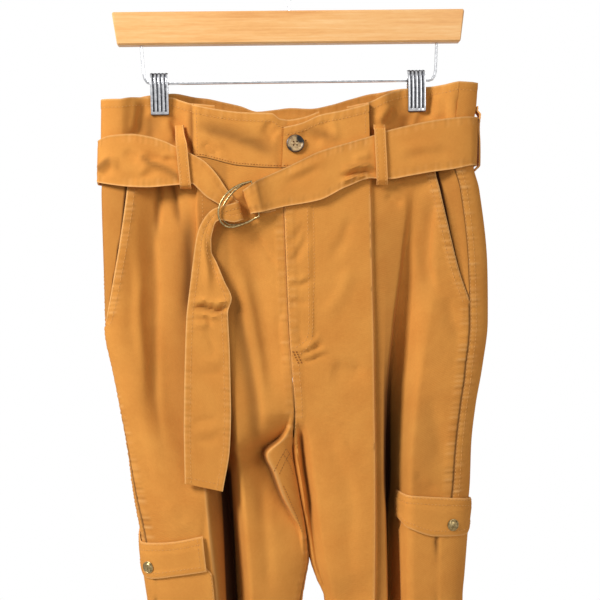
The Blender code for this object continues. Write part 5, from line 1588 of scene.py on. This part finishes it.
def inset_line(name, edge, inset, first=0.0, last=1.0):
    """A line inside one edge of a sheet, a set distance in. Edges: left, right, top, foot."""
    outer = SHEETS[name]["outer"]
    if edge in ("top", "foot"):
        outer = outer.transpose(1, 0, 2)
    if edge in ("right", "foot"):
        outer = outer[:, ::-1]
    far = run_lengths(outer, 1)
    line = np.array([[np.interp(inset, run, row[:, k]) for k in range(3)] for run, row in zip(far, outer)])
    n = len(line)
    return line[int(first * (n - 1)):int(last * (n - 1)) + 1]


def between(line, high, low):
    return line[(line[:, 2] <= high) & (line[:, 2] >= low)]


def drawn(name, *pairs):
    """A line drawn as x, z from the front, dropped on the finished cloth."""
    pairs = np.array(pairs, float)
    far = run_along(pairs)
    at = np.linspace(0, far[-1], max(3, int(far[-1] / 2.0)))
    line = []
    for x, z in zip(smooth_curve(far, pairs[:, 0], at), smooth_curve(far, pairs[:, 1], at)):
        hit, place, _, _ = SHEETS[name]["piece"].ray_cast(Vector((x, RAY_FROM, z)) * MM, Vector((0, 1, 0)))
        if hit:
            line.append(np.array(place) / MM)
    return np.array(line)


def sew(prefix, sheet, lines, finish, gap=STITCH_GAP):
    """All the stitches on one sheet as one piece."""
    points, faces = [], []
    for line in lines:
        line = resample(line, STITCH + gap) if len(line) > 2 else line
        if len(line) < 3:
            print("  too short to sew:", sheet)
            continue
        places, ways = on_sheet(sheet, line)
        for p, n, t in zip(places, ways, np.gradient(places, axis=0)):
            t = t - n * np.dot(t, n)
            t = t / max(np.linalg.norm(t), 1e-9)
            side = np.cross(n, t) * THREAD_WIDE / 2
            faces += [tuple(len(points) + k for k in face) for face in STITCH_FACES]
            points.append(p - t * STITCH / 2 - n * THREAD_DIP)
            for middle in (p - t * STITCH * 0.25, p + t * STITCH * 0.25):
                points += [middle + side, middle + n * THREAD_HIGH, middle - side]
            points.append(p + t * STITCH / 2 - n * THREAD_DIP)
    name = sheet.replace("cloth_", prefix)
    piece = make_mesh(name, points, faces, finish, 180)
    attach(piece, "root")
    print(name, len(points) // 8, "stitches")
    return piece


# %% Where the stitches run
HEM_STITCH = 22.0
SEWN = {}       # for each sheet, the lines that its stitches follow


def edge_lines(sheet, edges, insets, trim=0.0):
    return [inset_line(sheet, edge, inset, trim, 1.0 - trim) for edge in edges for inset in insets]


def drawn_all(sheet, *lines):
    return [drawn(sheet, *line) for line in lines]


# the pocket mouths, side seams and hems
for side in "rl":
    front, back = "cloth_front_" + side, "cloth_back_" + side
    mouth = edge_lines(front, ["left"], (2.0, 8.0))
    SEWN[front] = [between(line, -214, MOUTH_END[side] + 1) for line in mouth]
    SEWN[front] += edge_lines(front, ["foot"], (HEM_STITCH,))
    SEWN[back] = edge_lines(back, ["right"], (1.6, 7.0)) + edge_lines(back, ["foot"], (HEM_STITCH,))
# the rise, the fly's curve and a bartack at each pocket mouth
SEWN["cloth_front_l"] += [
    between(inset_line("cloth_front_l", "right", 1.6), -232, CROTCH_Z + 4),
    between(inset_line("cloth_front_l", "right", 7.5), FLY_FOOT - 4, -480)]
SEWN["cloth_front_l"] += drawn_all(
    "cloth_front_l", ((18.5, -268), (18, -330), (16, -360), (14, -395), (8, -408), (-4, -417)),
    ((12.5, -266), (12, -330), (11, -386), (8, -399), (0, -405), (-5, -408)), ((75.5, -236), (75.5, -258)))
SEWN["cloth_front_r"] += drawn_all("cloth_front_r", ((-92.5, -216), (-92, -250), (-92, -302)))
for sheet in BANDS:
    SEWN[sheet] = edge_lines(sheet, ["top"], (8.4,))
SEWN[BANDS[0]] += drawn_all(BANDS[0], ((-96.5, -166), (-96, -212)))
SEWN[BANDS[1]] += drawn_all(BANDS[1], ((74, -168), (73, -196)))
SEWN["cloth_belt"] = edge_lines("cloth_belt", ["top", "foot"], (6.3,))
SEWN["cloth_belt"] += edge_lines("cloth_belt", ["right"], (6.3,), 0.12)
for sheet in ("cloth_" + name for name in LOOPS):
    SEWN[sheet] = edge_lines(sheet, ["left", "right"], (2.1,))
for side in "rl":
    flap, pocket = "cloth_cargo_flap_" + side, "cloth_cargo_pocket_" + side
    SEWN[flap] = edge_lines(flap, ["left", "right"], (5.5,), 0.12) + edge_lines(flap, ["foot"], (5.5,), 0.06)
    SEWN[flap] += edge_lines(flap, ["top"], (2.0, 7.5))
    SEWN[pocket] = edge_lines(pocket, ["left", "right", "foot"], (1.8,))

STITCHES = {sheet: sew("stitches_", sheet, lines, thread) for sheet, lines in SEWN.items()}

# %% Russet lines: thread for the bartacks and the buttonhole, painted seam shadow along the waist seam and the crossing at the crotch
BUTTONHOLE = [((6, -202.0 + k), (16, -199.0 + k)) for k in (0, 0.9)]
FLY_TACK = [((-6 + k, -410), (0 + k, -424)) for k in (0, 0.9, 3.2, 4.1)]
CROSSING = [[(-27, -530), (-20, -517), (-14, -508)], [(-22, -533), (-15, -520), (-9, -511)],
            [(-14, -508), (-8, -520), (-3, -536)], [(-18, -512), (-12, -522), (-7, -536)],
            [(-18, -544), (-13, -556), (-6, -574), (0, -592)]]
# The waist seam and crotch lines are painted seam shadow. The fly tacks and the buttonhole are thread.
SEAM_SHADE_AND_TACK_LINES = {
    BANDS[0]: edge_lines(BANDS[0], ["foot"], (2.2,)),
    BANDS[1]: edge_lines(BANDS[1], ["foot"], (2.2,)) + drawn_all(BANDS[1], *BUTTONHOLE),
    "cloth_front_l": drawn_all("cloth_front_l", *FLY_TACK),
    "cloth_front_r": drawn_all("cloth_front_r", *CROSSING),
}
SEAM_SHADE_AND_TACKS = {sheet: sew("russet_", sheet, lines, thread_and_painted_seam_shade, 0.3) for sheet, lines in SEAM_SHADE_AND_TACK_LINES.items()}
print("sewn sheets", len(STITCHES), len(SEAM_SHADE_AND_TACKS))
lay_discs()

# %% [markdown]
# Each sheet's flat size is listed here: the width and length of the piece of cloth before it was sewn, in
# metres. Most pieces aren't rectangles, so the area of their shape, measured on the laid cloth and kept
# within set bounds, is printed with it.

# %% Flat sizes
CLIPS = ["clip_front_r", "clip_back_r", "clip_front_l", "clip_back_l"]
LEGS_R, LEGS_L = ["cloth_front_r", "cloth_back_r"], ["cloth_front_l", "cloth_back_l"]
FLAT = {  # sheet: width, length, how it is held, what it rests on
    "front_r": (0.260, 0.985, "hung", BANDS),
    "front_l": (0.260, 0.980, "hung", BANDS),
    "back_r": (0.250, 0.965, "hung", BANDS),
    "back_l": (0.270, 0.975, "hung", BANDS),
    "waistband_front_r": (0.305, 0.065, "gathered", CLIPS),
    "waistband_front_l": (0.240, 0.065, "gathered", CLIPS),
    "waistband_back": (0.445, 0.067, "gathered", CLIPS),
    "belt": (1.195, 0.055, "draped", BANDS),
    "pocket_facing_r": (0.060, 0.170, "laid", LEGS_R),
    "pocket_facing_l": (0.033, 0.162, "laid", LEGS_L),
    "cargo_pocket_r": (0.140, 0.100, "laid", LEGS_R),
    "cargo_pocket_l": (0.138, 0.098, "laid", LEGS_L),
    "cargo_flap_r": (0.137, 0.036, "laid", LEGS_R),
    "cargo_flap_l": (0.146, 0.039, "laid", LEGS_L),
    "belt_loop_front_r": (0.0115, 0.078, "folded", BANDS),
    "belt_loop_front_l": (0.0120, 0.068, "folded", BANDS),
    "belt_loop_side_r": (0.0130, 0.071, "folded", BANDS),
    "belt_loop_side_l": (0.0130, 0.069, "folded", BANDS),
    "belt_loop_back": (0.0115, 0.070, "folded", BANDS),
}
for name, (wide, long, held, below) in FLAT.items():
    sheet = "cloth_" + name
    piece, area = SHEETS[sheet]["piece"], SHEETS[sheet]["area"]
    area = float(np.clip(area, 0.31 * wide * long, wide * long))
    print(name, "flat", wide, "by", long, "m, area", round(area, 4))

# %% [markdown]
# The trousers hang well clear of a pale floor, in a white room. A wall could be a plane behind them, but
# it would take the light of the lamp at the back. So the room is the world itself: the camera sees it
# white, metal mirrors a part of that, and the cloth gets less of its light, so that folds keep their shade.

# %% Floor, room and light
ROOM_LIGHT, MIRRORED = 0.29, 0.6    # the room's light on cloth, and the share of its white in metal
FLOOR_SIZE, FLOOR_Z = 2.6, -1.30    # metres
LAMP_AIM = Vector((0.0, 0.0, -0.42))
LAMPS = [  # place, size in metres, watts
    ("key", (-1.5, -1.1, 0.85), 0.7, 52.0), ("fill", (1.5, -2.2, 0.2), 1.6, 15.0),
    ("rear", (0.4, 1.9, 0.6), 1.6, 30.0),
]


def studio():
    painted, _, shader = new_finish("white_painted_floor")
    shader.inputs["Base Color"].default_value = to_linear("#D9D7D3")
    shader.inputs["Roughness"].default_value = 0.9
    bpy.ops.mesh.primitive_plane_add(size=FLOOR_SIZE, location=(0, 0, FLOOR_Z))
    floor = bpy.context.object
    floor.name = "floor"
    floor.data.materials.append(painted)
    world = bpy.data.worlds.new("white_room")
    bpy.context.scene.world = world
    world.use_nodes = True
    tree = world.node_tree
    dim = tree.nodes["Background"]
    dim.inputs[0].default_value, dim.inputs[1].default_value = (1.0, 1.0, 1.0, 1.0), ROOM_LIGHT
    seen = add(tree, "Background", {0: (1.0, 1.0, 1.0, 1.0), 1: 1.0}).outputs[0]
    path = add(tree, "LightPath")
    glossy, seen_ray = path.outputs["Is Glossy Ray"], path.outputs["Is Camera Ray"]
    shine = add(tree, "Math", {0: glossy, 1: MIRRORED}, operation="MULTIPLY").outputs[0]
    to_eye = add(tree, "Math", {0: seen_ray, 1: shine}, operation="MAXIMUM").outputs[0]
    both = add(tree, "MixShader", {0: to_eye, 1: dim.outputs[0], 2: seen}).outputs[0]
    tree.links.new(both, tree.nodes["World Output"].inputs[0])
    for name, place, size, power in LAMPS:
        light = bpy.data.lights.new(name, "AREA")
        light.size, light.energy = size, power
        lamp = bpy.data.objects.new(name, light)
        lamp.location = place
        lamp.rotation_euler = (LAMP_AIM - Vector(place)).to_track_quat("-Z", "Y").to_euler()
        bpy.context.scene.collection.objects.link(lamp)


studio()
bpy.context.scene.view_settings.view_transform = "Standard"
print("lamps", [name for name, *_ in LAMPS])
